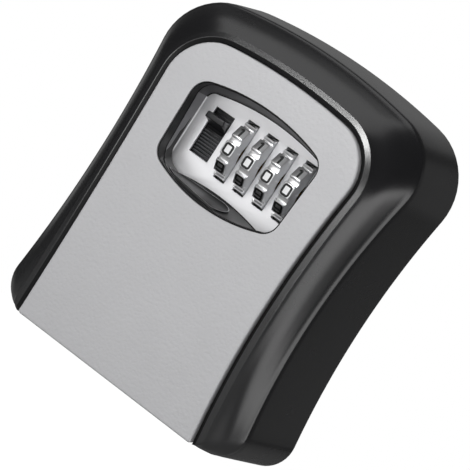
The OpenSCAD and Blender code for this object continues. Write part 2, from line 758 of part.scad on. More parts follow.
spring_sides = 6;    // sides of the spring's wire
spring_steps = 10;   // rings in one turn of the spring
leg_drop = 6;        // height of the latch plate's leg below the dials' axis
leg_foot = lock_z - leg_drop;
spring_x = max(stem_x + stem_w / 2, posts[0][0] + post_r + seat + spring_d / 2);
leg_x = max(stem_x + stem_w, spring_x + spring_d / 2);

// Coil that stands on the chassis' floor under the latch plate's leg.
module latch_spring() {
    low = lock_lo + chassis_wall + spring_wire / 2 + fit;
    high = leg_foot - spring_wire / 2 - fit;
    r = (spring_d - spring_wire) / 2;
    n = spring_turns * spring_steps;
    points = [for (i = [0:n]) let (t = 360 * i / spring_steps, z = low + (high - low) * i / n)
        for (k = [0:spring_sides - 1]) let (a = 360 * k / spring_sides, q = r + spring_wire / 2 * cos(a))
        [q * cos(t), q * sin(t), z + spring_wire / 2 * sin(a)]];
    walls = [for (i = [0:n - 1]) for (k = [0:spring_sides - 1])
        let (a = i * spring_sides + k, b = i * spring_sides + (k + 1) % spring_sides)
        each [[a, b, b + spring_sides], [a, b + spring_sides, a + spring_sides]]];
    first = [[for (k = [spring_sides - 1:-1:0]) k]];
    last = [[for (k = [0:spring_sides - 1]) n * spring_sides + k]];
    color("#c3c6ca") translate([spring_x, -(latch_rear + latch_t / 2), 0])
        polyhedron(points, concat(first, walls, last));
}

/* Dials */

tooth_l = 1.3;       // length of the dial's tooth along the axis
tooth_gap = 0.1;     // gap of the tooth in its groove

// Ten-sided number dial about the axis, with a valley at each corner and one inner tooth.
module dial(x) {
    color("#d4d4d6") {
        translate([x - dial_w / 2, -axis_depth, lock_z]) rotate([0, 90, 0]) difference() {
            cylinder(r = dial_r / cos(18), h = dial_w, $fn = 10);
            translate([0, 0, -over]) cylinder(r = hub_r + run, h = dial_w + 2 * over);
            for (k = [0:9]) rotate([0, 0, 36 * k])
                translate([dial_r - valley_deep, -valley_w / 2, -over])
                    cube([dial_r, valley_w, dial_w + 2 * over]);
        }
        translate([x - dial_w / 2, -axis_depth, lock_z]) rotate([0, 90, 0])
            rotate([0, 0, 90]) translate([hub_r - groove_deep + tooth_gap, -tooth_w / 2, tooth_gap])
                cube([groove_deep, tooth_w, tooth_l]);
    }
}

ring_gap = 0.35;     // gap between a dial and the gate ring beside it
smooth_l = 0.8;      // length of a hub's grooved part past the dial's tooth
ring_off = dial_w / 2 + ring_gap;

// Code hub inside the dial at x: grooved part, necks and the gate ring with its flat.
module code_hub(x) {
    grooved = x - dial_w / 2 + tooth_gap / 2;
    color("#b08d4c") difference() {
        union() {
            bar(hub_start(x), hub_end(x), axis_depth, lock_z, neck_r);
            difference() {
                bar(grooved, grooved + tooth_l + smooth_l, axis_depth, lock_z, hub_r);
                translate([x, -axis_depth, lock_z]) rotate([0, 90, 0]) for (k = [0:9])
                    rotate([0, 0, 36 * k + 18])
                        translate([hub_r - groove_deep, -tooth_w / 2 - tooth_gap, -dial_w])
                            cube([groove_deep + over, tooth_w + 2 * tooth_gap, 2 * dial_w]);
            }
            difference() {
                bar(x + ring_off, x + ring_off + ring_t, axis_depth, lock_z, ring_r);
                block(x, x + dial_pitch, axis_depth - ring_r - over, axis_depth - gate_flat,
                    lock_z - ring_r - over, lock_z + ring_r + over);
            }
        }
        bar(hub_start(x) - over, hub_end(x) + over, axis_depth, lock_z, axle_d / 2 + run);
    }
}

clip_r = 1.9;        // radius of the clip
clip_deep = 0.2;     // depth of the clip's groove in the axle
axle_start = cheek_x - reset_travel - hub_gap;
axle_end = chassis_w / 2 - chassis_wall / 2;

module dial_axle() {
    color("#b9bcc0") difference() {
        bar(axle_start, axle_end, axis_depth, lock_z, axle_d / 2);
        difference() {
            bar(clip_x - fit, clip_x + clip_t + fit, axis_depth, lock_z, axle_d);
            bar(clip_x - over, clip_x + clip_t + over, axis_depth, lock_z, axle_d / 2 - clip_deep);
        }
    }
}

module axle_clip() {
    color("#8d9094") difference() {
        bar(clip_x, clip_x + clip_t, axis_depth, lock_z, clip_r);
        bar(clip_x - over, clip_x + clip_t + over, axis_depth, lock_z, axle_d / 2 - clip_deep + fit);
    }
}

// Lever on the back of the door; its arm reaches the axle through the rear cover.
module reset_lever() {
    a = reset_arm_x;
    b = reset_arm_x + reset_arm_t;
    color("#6d7074") difference() {
        union() {
            block(a, b, cover_back - thumb_gap - thumb_t, axis_depth,
                lock_z - reset_arm_h / 2, lock_z + reset_arm_h / 2);
            bar(a, b, axis_depth, lock_z, reset_arm_h / 2);
            block(b - thumb_w, b, cover_back - thumb_gap - thumb_t, cover_back - thumb_gap,
                lock_z - thumb_h / 2, lock_z + thumb_h / 2);
        }
        bar(a - over, b + over, axis_depth, lock_z, axle_d / 2 + fit);
    }
}

/* Slider and latch */

slot_cover = 0.6;    // lap of the ribbed plate past the slot's ends
plate_foot = lock_z - slider_slot_h / 2 - slot_cover;
plate_head = lock_z + slider_slot_h / 2 + slider_travel + slot_cover;
plate_front = face_back - seat;
stem_h = 8;          // height of the slider's stem
stem_lo = lock_z - stem_h / 2;
stem_hi = lock_z + stem_h / 2;
latch_screw_at = [stem_x + stem_w / 2, lock_z];
latch_screw_l = 5;   // length of the latch screw

// Thumb ledge, seen from its end: flat on top and at the tip, with a slope below.
module ledge() {
    w = slider_slot_w - 2 * slider_gap;
    tip = -(face_front + ledge_out);
    root = -(plate_front - slider_t / 2);
    high = lock_z + ledge_z + ledge_h / 2;
    low = high - ledge_h;
    translate([slider_mid - w / 2, 0, 0]) rotate([90, 0, 90]) linear_extrude(w)
        polygon([[root, high], [tip, high], [tip, low], [-plate_front, low - ledge_slope],
            [root, low - ledge_slope]]);
}

module open_slider() {
    ledge_lo = lock_z + ledge_z - ledge_h / 2 - ledge_slope;
    ledge_hi = lock_z + ledge_z + ledge_h / 2;
    color("#1a1a1c") difference() {
        union() {
            block(slider_mid - slider_plate_w / 2, slider_mid + slider_plate_w / 2,
                plate_front - slider_t, plate_front, plate_foot, plate_head);
            ledge();
            block(stem_x, stem_x + stem_w, latch_front, plate_front - slider_t / 2, stem_lo, stem_hi);
        }
        for (z = [plate_foot + rib_pitch:rib_pitch:plate_head - rib_pitch])
            if (z < ledge_lo - rib_pitch / 2 || z > ledge_hi + rib_pitch / 2)
                block(slider_mid - slider_plate_w, slider_mid + slider_plate_w, plate_front - rib_deep,
                    plate_front + over, z - rib_pitch / 4, z + rib_pitch / 4);
        stud(latch_screw_at[0], latch_screw_at[1], lock_screw_d / 2 + fit, latch_rear,
            latch_rear + latch_screw_l + over);
    }
}

blade_gap = 0.6;     // height of a blade's foot above its gate ring
gate_gap = 0.2;      // gap between a blade and the flat that it passes
blade_h = 6;         // height of a blade
bar_h = 7;           // height of the cross bar
blade_lo = lock_z + ring_r + blade_gap;
blade_front = axis_depth - gate_flat - gate_gap;
bar_lo = blade_lo + latch_t;
bar_hi = bar_lo + bar_h;

// Plate behind the dials: a leg down to the slider, a cross bar with four blades, and the bolt.
module latch_plate() {
    color("#a9adb2") difference() {
        union() {
            block(stem_x, leg_x, latch_rear, latch_front, leg_foot, bar_hi);
            block(stem_x, dials[3] + ring_off + ring_t, latch_rear, latch_front, bar_lo, bar_hi);
            block(-bolt_w / 2, bolt_w / 2, latch_rear, latch_front, bar_lo, bolt_top);
            for (x = dials) {
                mid = x + ring_off + ring_t / 2;
                block(mid - blade_w / 2, mid + blade_w / 2, latch_rear, blade_front, blade_lo,
                    blade_lo + blade_h);
            }
        }
        stud(latch_screw_at[0], latch_screw_at[1], lock_screw_d / 2 + fit, latch_rear - over,
            latch_front + over);
    }
}

module latch_screw() {
    color("#b9bcc0") lock_screw(latch_screw_at, latch_rear, latch_screw_l);
}

outer_shell();
inner_box();
tray_screws();
hinge_pin();
keeper();
keeper_rivets();
door_panel();
window_bezel();
lock_face();
lock_chassis();
chassis_screws();
rear_cover();
rear_cover_screws();
detent_spring();
latch_spring();
dial(dials[0]);  // dial_1
dial(dials[1]);  // dial_2
dial(dials[2]);  // dial_3
dial(dials[3]);  // dial_4
code_hub(dials[0]);  // code_hub_1
code_hub(dials[1]);  // code_hub_2
code_hub(dials[2]);  // code_hub_3
code_hub(dials[3]);  // code_hub_4
dial_axle();
axle_clip();
reset_lever();
open_slider();
latch_plate();
latch_screw();
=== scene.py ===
import math
from typing import NamedTuple

import bmesh
import bpy
from bpy.props import FloatProperty, FloatVectorProperty, PointerProperty
from bpy.types import Operator, Panel, PropertyGroup
from mathutils import Matrix, Vector


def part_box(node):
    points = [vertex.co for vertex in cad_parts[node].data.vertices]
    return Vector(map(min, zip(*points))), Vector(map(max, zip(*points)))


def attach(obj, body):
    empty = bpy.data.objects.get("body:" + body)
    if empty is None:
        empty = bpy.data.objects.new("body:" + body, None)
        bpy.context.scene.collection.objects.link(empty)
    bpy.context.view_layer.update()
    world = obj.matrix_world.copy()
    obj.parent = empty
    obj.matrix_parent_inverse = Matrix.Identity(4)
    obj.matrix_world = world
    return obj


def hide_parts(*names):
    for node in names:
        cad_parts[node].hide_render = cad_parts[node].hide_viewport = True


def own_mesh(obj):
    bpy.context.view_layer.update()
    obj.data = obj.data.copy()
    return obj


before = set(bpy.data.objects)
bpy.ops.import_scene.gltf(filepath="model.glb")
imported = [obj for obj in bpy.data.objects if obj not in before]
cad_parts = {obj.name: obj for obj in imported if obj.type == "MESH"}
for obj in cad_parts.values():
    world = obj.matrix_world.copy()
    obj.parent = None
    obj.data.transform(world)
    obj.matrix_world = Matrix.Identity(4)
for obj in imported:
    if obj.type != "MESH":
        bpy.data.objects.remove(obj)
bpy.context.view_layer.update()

bl_info = {
    "name": "Combination Key Safe",
    "version": (1, 0, 0),
    "blender": (4, 5, 0),
    "location": "3D View > Sidebar > Key Safe",
    "description": "Dresses a wall key safe with a fold-down door and a four-dial lock",
    "category": "Object",
}

MM = 0.001
TURN = 2 * math.pi
SKIN = 0.005 * MM  # the shell's skin stays this far inside the CAD model's box
LEAST_R = 0.05 * MM  # no corner of an outline is sharper than this
DIALS = ("dial_1", "dial_2", "dial_3", "dial_4")


# Sizes and colours

def length(name, mm, text):
    """A length that is written in millimetres and kept in metres."""
    return FloatProperty(name=name, description=text, default=mm * MM, unit="LENGTH", precision=5)


def in_mm(*points):
    """Points that are written in millimetres, in metres."""
    return [(a * MM, b * MM) for a, b in points]


def linear(code):
    """The linear colour, with alpha, of an sRGB hex value."""
    parts = [int(code[i:i + 2], 16) / 255 for i in (1, 3, 5)]
    return [p / 12.92 if p <= 0.04045 else ((p + 0.055) / 1.055) ** 2.4 for p in parts] + [1.0]


def colour(name, code, text):
    """A colour that is written as an sRGB hex value."""
    return FloatVectorProperty(name=name, description=text, default=linear(code), size=4,
                               subtype="COLOR", min=0, max=1)


class KeySafeBody(PropertyGroup):
    """Sizes of the shell and the door."""
    body_h: length("Body height", 115, "Height of the shell")
    waist_w: length("Waist width", 92.2, "Width of the back edge at the waist")
    waist_z: length("Waist level", -5, "Height of the waist above the middle")
    side_r: length("Side radius", 278, "Radius of the hollow sides")
    top_r: length("Top radius", 197, "Radius of the top edge")
    corner_r: length("Corner radius", 19.5, "Radius of the top corners")
    foot_r: length("Foot radius", 10, "Radius of the bottom corners")
    ridge_in: length("Ridge inset", 4.2, "Distance of the ridge inside the back edge")
    ridge_drop: length("Ridge drop", 1.5, "Distance of the ridge below the back edge at the top")
    ridge_depth: length("Ridge depth", 29.7, "Depth of the ridge where it stands furthest forward")
    ridge_bow: length("Ridge bow", 408, "Radius of the ridge's curve, seen from the side")
    ridge_bow_z: length("Ridge bow level", -13.6, "Height at which the ridge stands furthest forward")
    ridge_roll: length("Ridge roll", 0.7, "Radius of the roll on the ridge")
    rim_roll: length("Rim roll", 1.8, "Width of the roll round the door opening")
    shell_wall: length("Shell wall", 2.6, "Thickness of the shell")
    rim_below: length("Rim below door", 0.6, "Distance of the rim below the door's face")
    mouth_depth: length("Mouth depth", 25.8, "Depth from which the shell is open at the bottom")
    door_w: length("Door width", 63.1, "Width of the door at its waist")
    door_waist_z: length("Door waist level", -12.9, "Height of the door's waist above the middle")
    door_side_r: length("Door side radius", 500, "Radius of the door's hollow sides")
    door_top: length("Door top", 44.4, "Height of the door's top edge above the middle")
    door_top_r: length("Door top radius", 169, "Radius of the door's top edge")
    door_corner_r: length("Door corner radius", 14.3, "Radius of the door's top corners")
    door_foot: length("Door foot", -56.3, "Height of the door's bottom edge above the middle")
    door_foot_r: length("Door foot radius", 0.8, "Radius of the door's bottom corners")
    door_depth: length("Door depth", 41, "Depth of the door's front where it stands furthest forward")
    door_bow: length("Door bow", 302, "Radius of the door's curve, seen from the side")
    door_bow_z: length("Door bow level", 0.5, "Height at which the door stands furthest forward")
    door_wall: length("Door wall", 2.6, "Thickness of the door")
    skirt_wall: length("Skirt wall", 2, "Thickness of the door's skirt")
    skirt_depth: length("Skirt depth", 10, "Depth of the skirt behind the door's front")
    door_gap: length("Door gap", 1.2, "Gap between the door and the shell")
    door_edge_r: length("Door edge radius", 0.7, "Radius of the rounded edge of the door's front")


class KeySafeLock(PropertyGroup):
    """Sizes of the window, the dials and the slider."""
    axis_z: length("Axis level", 18.4, "Height of the dials' axis above the middle")
    axis_depth: length("Axis depth", 24.8, "Depth of the dials' axis")
    face_front: length("Lock face depth", 28.3, "Depth of the lock face's front")
    window_w: length("Window width", 46.8, "Width of the window at its top")
    window_lean: length("Window lean", 1.6, "Lean of the window's sides towards the bottom")
    window_up: length("Window up", 16.3, "Height of the window's top above the axis")
    window_down: length("Window down", 17.1, "Height of the window's bottom below the axis")
    window_top_r: length("Window top radius", 68, "Radius of the window's top edge")
    window_foot_r: length("Window foot radius", 52, "Radius of the window's bottom edge")
    window_corner_r: length("Window corner radius", 5.5, "Radius of the window's corners")
    show_w: length("Face width", 45.4, "Width of the part of the lock face that shows")
    show_top: length("Face top", 31.8, "Height of the top of that part above the middle")
    show_top_r: length("Face top radius", 75, "Radius of the top of that part")
    show_foot: length("Face foot", 4.8, "Height of the highest place of its bottom edge")
    show_foot_x: length("Face foot place", -3.5, "Place of that across the lock face")
    show_foot_r: length("Face foot radius", 70, "Radius of its bottom edge, which bows upwards")
    show_corner_r: length("Face corner radius", 3, "Radius of its top corners")
    show_heel_r: length("Face heel radius", 1.5, "Radius of its bottom corners")
    # The grey band at the sides is painted light on the black liner.
    liner_step: length("Liner step", 7.6, "Height of the liner's grey band at the sides")
    liner_below: length("Liner below door", 0.35, "Distance of the liner's edge below the door's face")
    dial_r: length("Dial radius", 9.9, "Distance from the axis to a dial's flats")
    dial_bore_r: length("Dial bore radius", 4.45, "Radius of the bore of a dial")
    digit_w: length("Digit width", 2.4, "Width of a digit between the middles of its strokes")
    digit_h: length("Digit height", 2.95, "Height of a digit between the middles of its strokes")
    digit_stroke: length("Digit stroke", 0.68, "Width of a digit's strokes")
    rib_pitch: length("Rib pitch", 0.95, "Distance from one rib of the slider to the next")
    rib_r: length("Rib radius", 0.3, "Radius of a rib of the slider")
    ledge_top: length("Ledge top", 24.1, "Height of the top of the slider's ledge above the middle")
    ledge_foot: length("Ledge foot", 19.2, "Height of the foot of the slope under the ledge")


class KeySafeFinish(PropertyGroup):
    """Colours of the pieces that show."""
    shell: colour("Shell", "#121214", "Satin black plastic of the shell")
    door: colour("Door", "#bbbbbd", "Grained grey plastic of the door")
    liner: colour("Liner", "#0d0d0e", "Black plastic of the window's liner")
    # Painted light: light grey on the black liner's side walls, where they catch the light.
    painted_light_band: colour("Liner band", "#78787b", "Grey bands of the liner beside the lock face")
    # Painted light: a dimmer grey on the black liner's top wall.
    wall: colour("Liner wall", "#363639", "Dark walls of the liner above and below the lock face")
    plate: colour("Lock face", "#eaeaec", "Satin silver of the lock face")
    dial: colour("Dial", "#dededf", "Bright plating of the dials")
    dial_side: colour("Dial side", "#d2d3d5", "Satin sides of the dials")
    digit: colour("Digit", "#060607", "Black fill of the digits")
    slider: colour("Slider", "#141416", "Black plastic of the slider")
    # Painted sheen: the ribs are a lighter grey than the slider, standing for their lit tops.
    rib: colour("Rib", "#343437", "Lighter grey of the slider's ribs: painted sheen")
    steel: colour("Plated steel", "#b4b7bb", "Zinc plating of the screws and the pressed pieces")
    tray: colour("Tray", "#a3a6aa", "Zinc coat of the tray")
    casting: colour("Casting", "#9c9ea2", "Die-cast zinc of the lock's frame")
    brass: colour("Brass", "#b5924c", "Turned brass of the hubs")
    spring: colour("Spring", "#8a8c90", "Tempered steel of the springs")


# Outlines

class Edge(NamedTuple):
    """Outline with hollow sides, a crowned top and rounded corners."""
    half: float    # half width at the waist
    waist: float   # height of the waist
    side: float    # radius of the sides
    top: float     # height of the top
    crown: float   # radius of the top
    corner: float  # radius of the top corners
    foot: float    # height of the bottom
    heel: float    # radius of the bottom corners

    def grown(self, d, down=0.0):
        """The same outline, d larger at the sides and the top and further down by down."""
        return Edge(self.half + d, self.waist, self.side - d, self.top + d, self.crown + d,
                    self.corner + d, self.foot - down, max(self.heel + d, LEAST_R))

    def blended(self, other, share):
        """The outline that lies the given share of the way to another."""
        return Edge(*(a + (b - a) * share for a, b in zip(self, other)))


def arc(cx, cz, r, a, b, n):
    """Points of an arc from angle a to angle b."""
    turns = [a + (b - a) * i / n for i in range(n + 1)]
    return [(cx + r * math.cos(t), cz + r * math.sin(t)) for t in turns]


def right_half(e, n=12):
    """Right half of an outline, from the middle of its bottom to the middle of its top."""
    side_x, crown_z, heel_z = e.half + e.side, e.top - e.crown, e.foot + e.heel
    heel_x = side_x - math.sqrt((e.side + e.heel) ** 2 - (e.waist - heel_z) ** 2)
    span = math.hypot(side_x, e.waist - crown_z)
    reach, rest = e.side + e.corner, e.crown - e.corner
    along = (span ** 2 + reach ** 2 - rest ** 2) / (2 * span)
    across = math.sqrt(reach ** 2 - along ** 2)
    ux, uz = -side_x / span, (crown_z - e.waist) / span
    head_x, head_z = side_x + ux * along + uz * across, e.waist + uz * along - ux * across
    at_heel = math.atan2(e.waist - heel_z, side_x - heel_x)
    at_head = math.atan2(e.waist - head_z, side_x - head_x)
    at_crown = math.atan2(head_z - crown_z, head_x)
    side = arc(side_x, e.waist, -e.side, at_heel, at_head, 3 * n)
    return ([(0.0, e.foot)] + arc(heel_x, heel_z, e.heel, -math.pi / 2, at_heel, n) + side[1:-1]
            + arc(head_x, head_z, e.corner, at_head, at_crown, n)
            + arc(0.0, crown_z, e.crown, at_crown, math.pi / 2, n)[1:])


def mirrored(half):
    """A whole outline from its right half, with the points on the middle line kept single."""
    return half + [(-x, z) for x, z in reversed(half[1:-1])]


def window_edge(lock, d, n=10):
    """Outline of the window, grown by d, from the middle of its bottom."""
    up, down = lock.axis_z + lock.window_up, lock.axis_z - lock.window_down
    lean = Vector((lock.window_lean, up - down)).normalized()
    out = Vector((lean.y, -lean.x))
    start = Vector((lock.window_w / 2, up)) - out * lock.window_corner_r
    corners = []
    for middle, r, way in ((down + lock.window_foot_r, lock.window_foot_r, -1),
                           (up - lock.window_top_r, lock.window_top_r, 1)):
        gap = start - Vector((0.0, middle))
        b = gap.dot(lean)
        root = math.sqrt(b * b - gap.length_squared + (r - lock.window_corner_r) ** 2)
        spot = start + lean * (-b + way * root)
        corners.append((spot, math.atan2(spot.y - middle, spot.x), middle, r + d))
    (low, a_low, low_z, low_r), (high, a_high, high_z, high_r) = corners
    a_side, r = math.atan2(out.y, out.x), lock.window_corner_r + d
    half = (arc(0.0, low_z, low_r, -math.pi / 2, a_low, n) + arc(low.x, low.y, r, a_low, a_side, n)[1:]
            + arc(high.x, high.y, r, a_side, a_high, n)
            + arc(0.0, high_z, high_r, a_high, math.pi / 2, n)[1:])
    return mirrored(half)


def face_edge(lock, d, n=10):
    """Outline of the part of the lock face that shows, grown by d; points as in window_edge."""
    half, r, heel = lock.show_w / 2 + d, lock.show_corner_r + d, lock.show_heel_r + d

    def side(way):
        def foot(x):
            return lock.show_foot - d - (way * x - lock.show_foot_x) ** 2 / (2 * lock.show_foot_r)

        def top(x):
            return lock.show_top + d - x * x / (2 * lock.show_top_r)
        low, high = half - heel, half - r
        line = [(low * i / n, foot(low * i / n)) for i in range(n + 1)]
        line += arc(low, foot(low) + heel, heel, -math.pi / 2, 0, n)[1:]
        line += arc(high, top(high) - r, r, 0, math.pi / 2, n)
        line += [(high * (1 - i / n), top(high * (1 - i / n))) for i in range(1, n + 1)]
        return [(way * x, z) for x, z in line]

    return side(1) + side(-1)[-2:0:-1]


def eased(points, times=2, closed=False):
    """A line with its corners cut time after time, so that it runs round them; open ends stay.
    Each time doubles its points."""
    for _ in range(times):
        stretches = list(zip(points, points[1:] + points[:1] if closed else points[1:]))
        cut = [p for a, b in stretches for p in (a.lerp(b, 0.25), a.lerp(b, 0.75))]
        points = cut if closed else [points[0]] + cut + [points[-1]]
    return points


def stroked(line, width, closed=False):
    """Left and right points of a stroke of even width along a line."""
    pairs = []
    for i, p in enumerate(line):
        before = line[i - 1] if closed or i else p
        after = line[(i + 1) % len(line)] if closed or i < len(line) - 1 else p
        along = (after - before).normalized()
        side = Vector((-along.y, along.x)) * width / 2
        pairs.append((p + side, p - side))
    return pairs


# Meshes

class Form:
    """Points and faces gathered for one piece; each face carries the number of its finish."""

    def __init__(self):
        self.points, self.faces, self.finishes = [], [], []

    def add(self, points, faces, finish=0):
        first = len(self.points)
        self.points += [Vector(p) for p in points]
        self.faces += [[first + i for i in face] for face in faces]
        self.finishes += [finish] * len(faces)

    def skin(self, rings, finish=0, wrap=False, ladder=False):
        """Closed skin over rings of equal length; wrap joins the last ring to the first, and
        ladder caps the front with strips between points of one height."""
        n, m = len(rings[0]), len(rings)
        faces = [[k * n + i, k * n + (i + 1) % n, (k + 1) % m * n + (i + 1) % n, (k + 1) % m * n + i]
                 for k in range(m if wrap else m - 1) for i in range(n)]
        if not wrap:
            faces.append(list(range(n))[::-1])
            last = (m - 1) * n
            if ladder:
                for i in range(n // 2):
                    strip = [i, i + 1, (n - i - 1) % n, (n - i) % n]
                    faces.append([last + j for j in dict.fromkeys(strip)])
            else:
                faces.append([last + i for i in range(n)])
        self.add([p for ring in rings for p in ring], faces, finish)

    def prism(self, outline, a, b, finish=0):
        """Outline in the XZ plane, from depth a to depth b."""
        self.skin([[(x, -d, z) for x, z in outline] for d in (a, b)], finish)

    def block(self, x0, x1, a, b, z0, z1, finish=0):
        """Box from x0 to x1, from depth a to depth b and from z0 to z1."""
        self.prism([(x0, z0), (x1, z0), (x1, z1), (x0, z1)], a, b, finish)

    def tube(self, x0, x1, depth, z, r, bore, finish=0, n=32):
        """Round tube along X."""
        self.skin([[(x, p - depth, z + q) for p, q in arc(0, 0, size, 0, TURN, n)[:-1]]
                   for x, size in ((x0, bore), (x0, r), (x1, r), (x1, bore))], finish, wrap=True)

    def turned(self, profile, place, axis, n=28, finish=0):
        """Solid turned from (radius, height) points about an axis through a place."""
        turn = Vector((0, 0, 1)).rotation_difference(Vector(axis)).to_matrix()
        self.skin([[Vector(place) + turn @ Vector((x, y, h)) for x, y in arc(0, 0, r, 0, TURN, n)[:-1]]
                   for r, h in profile], finish)

    def mesh(self, name):
        mesh = bpy.data.meshes.new(name)
        mesh.from_pydata([p[:] for p in self.points], [], self.faces)
        mesh.polygons.foreach_set("material_index", self.finishes)
        work = bmesh.new()
        work.from_mesh(mesh)
        bmesh.ops.recalc_face_normals(work, faces=work.faces)
        work.to_mesh(mesh)
        work.free()
        return mesh

    def piece(self, name, *finishes):
        piece = bpy.data.objects.new(name, self.mesh(name))
        bpy.context.scene.collection.objects.link(piece)
        for finish in finishes:
            piece.data.materials.append(finish)
        return piece


def settle(piece):
    """Turns a piece's modifiers into plain mesh."""
    bpy.context.view_layer.update()
    graph = bpy.context.evaluated_depsgraph_get()
    made = bpy.data.meshes.new_from_object(piece.evaluated_get(graph))
    piece.modifiers.clear()
    piece.data = made
    return piece


def drop(*pieces):
    """Removes helper objects."""
    for piece in pieces:
        bpy.data.objects.remove(piece)


def carve(piece, *cutters):
    """Cuts solids out of a piece and removes them."""
    for cutter in cutters:
        cut = piece.modifiers.new("cut", "BOOLEAN")
        cut.operation, cut.solver, cut.object = "DIFFERENCE", "EXACT", cutter
        cut.use_self = True
    settle(piece)
    drop(*cutters)
    return piece


def gathered(piece, *others):
    """Adds the meshes of other pieces to a piece as they are and removes those pieces."""
    work = bmesh.new()
    for each in (piece, *others):
        work.from_mesh(each.data)
    work.to_mesh(piece.data)
    work.free()
    drop(*others)
    return piece


def shaded(piece, degrees=35):
    """Smooth shading with sharp edges past an angle."""
    piece.data.polygons.foreach_set("use_smooth", [True] * len(piece.data.polygons))
    piece.data.set_sharp_from_angle(angle=math.radians(degrees))
    return piece


def softened(piece, mm, segments=2):
    """Small round on the edges of a piece."""
    round_off = piece.modifiers.new("round", "BEVEL")
    round_off.width, round_off.segments, round_off.limit_method = mm * MM, segments, "ANGLE"
    round_off.angle_limit = math.radians(40)
    return settle(piece)


def hand_over(piece, body, slot, *nodes):
    """Parents a finished piece to the empty of its body and hides the CAD nodes it stands for; slot is not
    used.
    """
    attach(piece, body)
    if nodes:
        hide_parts(*nodes)


# Finishes

def node(tree, kind, inputs=None, **settings):
    """Adds a node, sets it up and feeds its inputs with values, sockets or nodes' first outputs."""
    made = tree.nodes.new(kind)
    for name, value in settings.items():
        setattr(made, name, value)
    for name, value in (inputs or {}).items():
        if isinstance(value, bpy.types.Node):
            value = value.outputs[0]
        if isinstance(value, bpy.types.NodeSocket):
            tree.links.new(value, made.inputs[name])
        else:
            made.inputs[name].default_value = value
    return made


def per_mm(size):
    """Scale of a pattern whose features are size millimetres wide."""
    return 1 / (size * MM)


def emptied(owner):
    """The node tree of a material or a world, with nothing in it."""
    owner.use_nodes = True
    owner.node_tree.nodes.clear()
    return owner.node_tree


def start_finish(name):
    """A new material with its empty tree and the coordinates that its patterns read."""
    material = bpy.data.materials.new(name)
    tree = emptied(material)
    place = node(tree, "ShaderNodeTexCoord").outputs["Object"]
    return material, tree, place


def end_finish(material, inputs):
    """Ends a material with a shader that is fed by the given inputs."""
    shader = node(material.node_tree, "ShaderNodeBsdfPrincipled", inputs)
    node(material.node_tree, "ShaderNodeOutputMaterial", {"Surface": shader})
    return material


def toned(base, share):
    """A colour times a share, with full alpha."""
    return [min(c * share, 1.0) for c in base[:3]] + [1.0]


def worn(tree, place, base, drift, rough, patch):
    """Shader inputs: colour and roughness that drift a little in patches of the given size in mm."""
    cloud = node(tree, "ShaderNodeTexNoise", {"Vector": place, "Scale": per_mm(patch), "Detail": 4.0})
    shade, light = toned(base, 1 - drift), toned(base, 1 + drift)
    tone = node(tree, "ShaderNodeMix", {"Factor": cloud, "A": shade, "B": light}, data_type="RGBA")
    dull = node(tree, "ShaderNodeMapRange", {"Value": cloud, "To Min": rough[0], "To Max": rough[1]})
    return {"Base Color": tone.outputs["Result"], "Roughness": dull}


ABS_IOR = 1.53


def moulded_black(name, base, rough, gloss=0.5):
    """Moulded ABS from a finely etched mould: a satin black with wide soft highlights."""
    # The etch of 0.1 mm is drawn at 0.6 mm, because finer grain is lost at this picture size.
    material, tree, place = start_finish(name)
    inputs = worn(tree, place, base, drift=0.1, rough=rough, patch=16)
    etch = node(tree, "ShaderNodeTexNoise", {"Vector": place, "Scale": per_mm(0.6), "Detail": 2.0})
    bump = node(tree, "ShaderNodeBump", {"Height": etch, "Distance": 0.012 * MM, "Strength": 0.6})
    return end_finish(material, inputs | {"Normal": bump, "IOR": ABS_IOR, "Specular IOR Level": gloss})


def grained_grey(name, base):
    """Moulded ABS with a leather grain: pebbles about 1 mm wide that break up the light."""
    material, tree, place = start_finish(name)
    inputs = worn(tree, place, base, drift=0.03, rough=(0.46, 0.56), patch=9)
    twist = node(tree, "ShaderNodeTexNoise", {"Vector": place, "Scale": per_mm(1.6), "Detail": 2.0})
    shift = node(tree, "ShaderNodeVectorMath", {0: twist.outputs["Color"], "Scale": 0.9 * MM},
                 operation="SCALE")
    bent = node(tree, "ShaderNodeVectorMath", {0: place, 1: shift}, operation="ADD")
    pebble = node(tree, "ShaderNodeTexVoronoi", {"Vector": bent, "Scale": per_mm(1.0)},
                  feature="SMOOTH_F1")
    fine = node(tree, "ShaderNodeTexNoise", {"Vector": place, "Scale": per_mm(0.45), "Detail": 2.0})
    coarse = node(tree, "ShaderNodeBump", {"Height": pebble, "Distance": 0.09 * MM, "Strength": 1.0})
    bump = node(tree, "ShaderNodeBump", {
        "Height": fine, "Distance": 0.05 * MM, "Strength": 0.8, "Normal": coarse})
    return end_finish(material, inputs | {"Normal": bump, "IOR": ABS_IOR})


def bright_metal(name, base, rough, patch, etch, deep, stretch=(1, 1, 1), metal=1.0):
    """Bare or plated metal: reflects what is round it, a little blurred by its fine marks."""
    material, tree, place = start_finish(name)
    inputs = worn(tree, place, base, drift=0.05, rough=rough, patch=patch)
    laid = node(tree, "ShaderNodeMapping", {"Vector": place, "Scale": stretch})
    marks = node(tree, "ShaderNodeTexNoise", {"Vector": laid, "Scale": per_mm(etch), "Detail": 3.0})
    bump = node(tree, "ShaderNodeBump", {"Height": marks, "Distance": deep * MM, "Strength": 0.5})
    return end_finish(material, inputs | {"Normal": bump, "Metallic": metal})


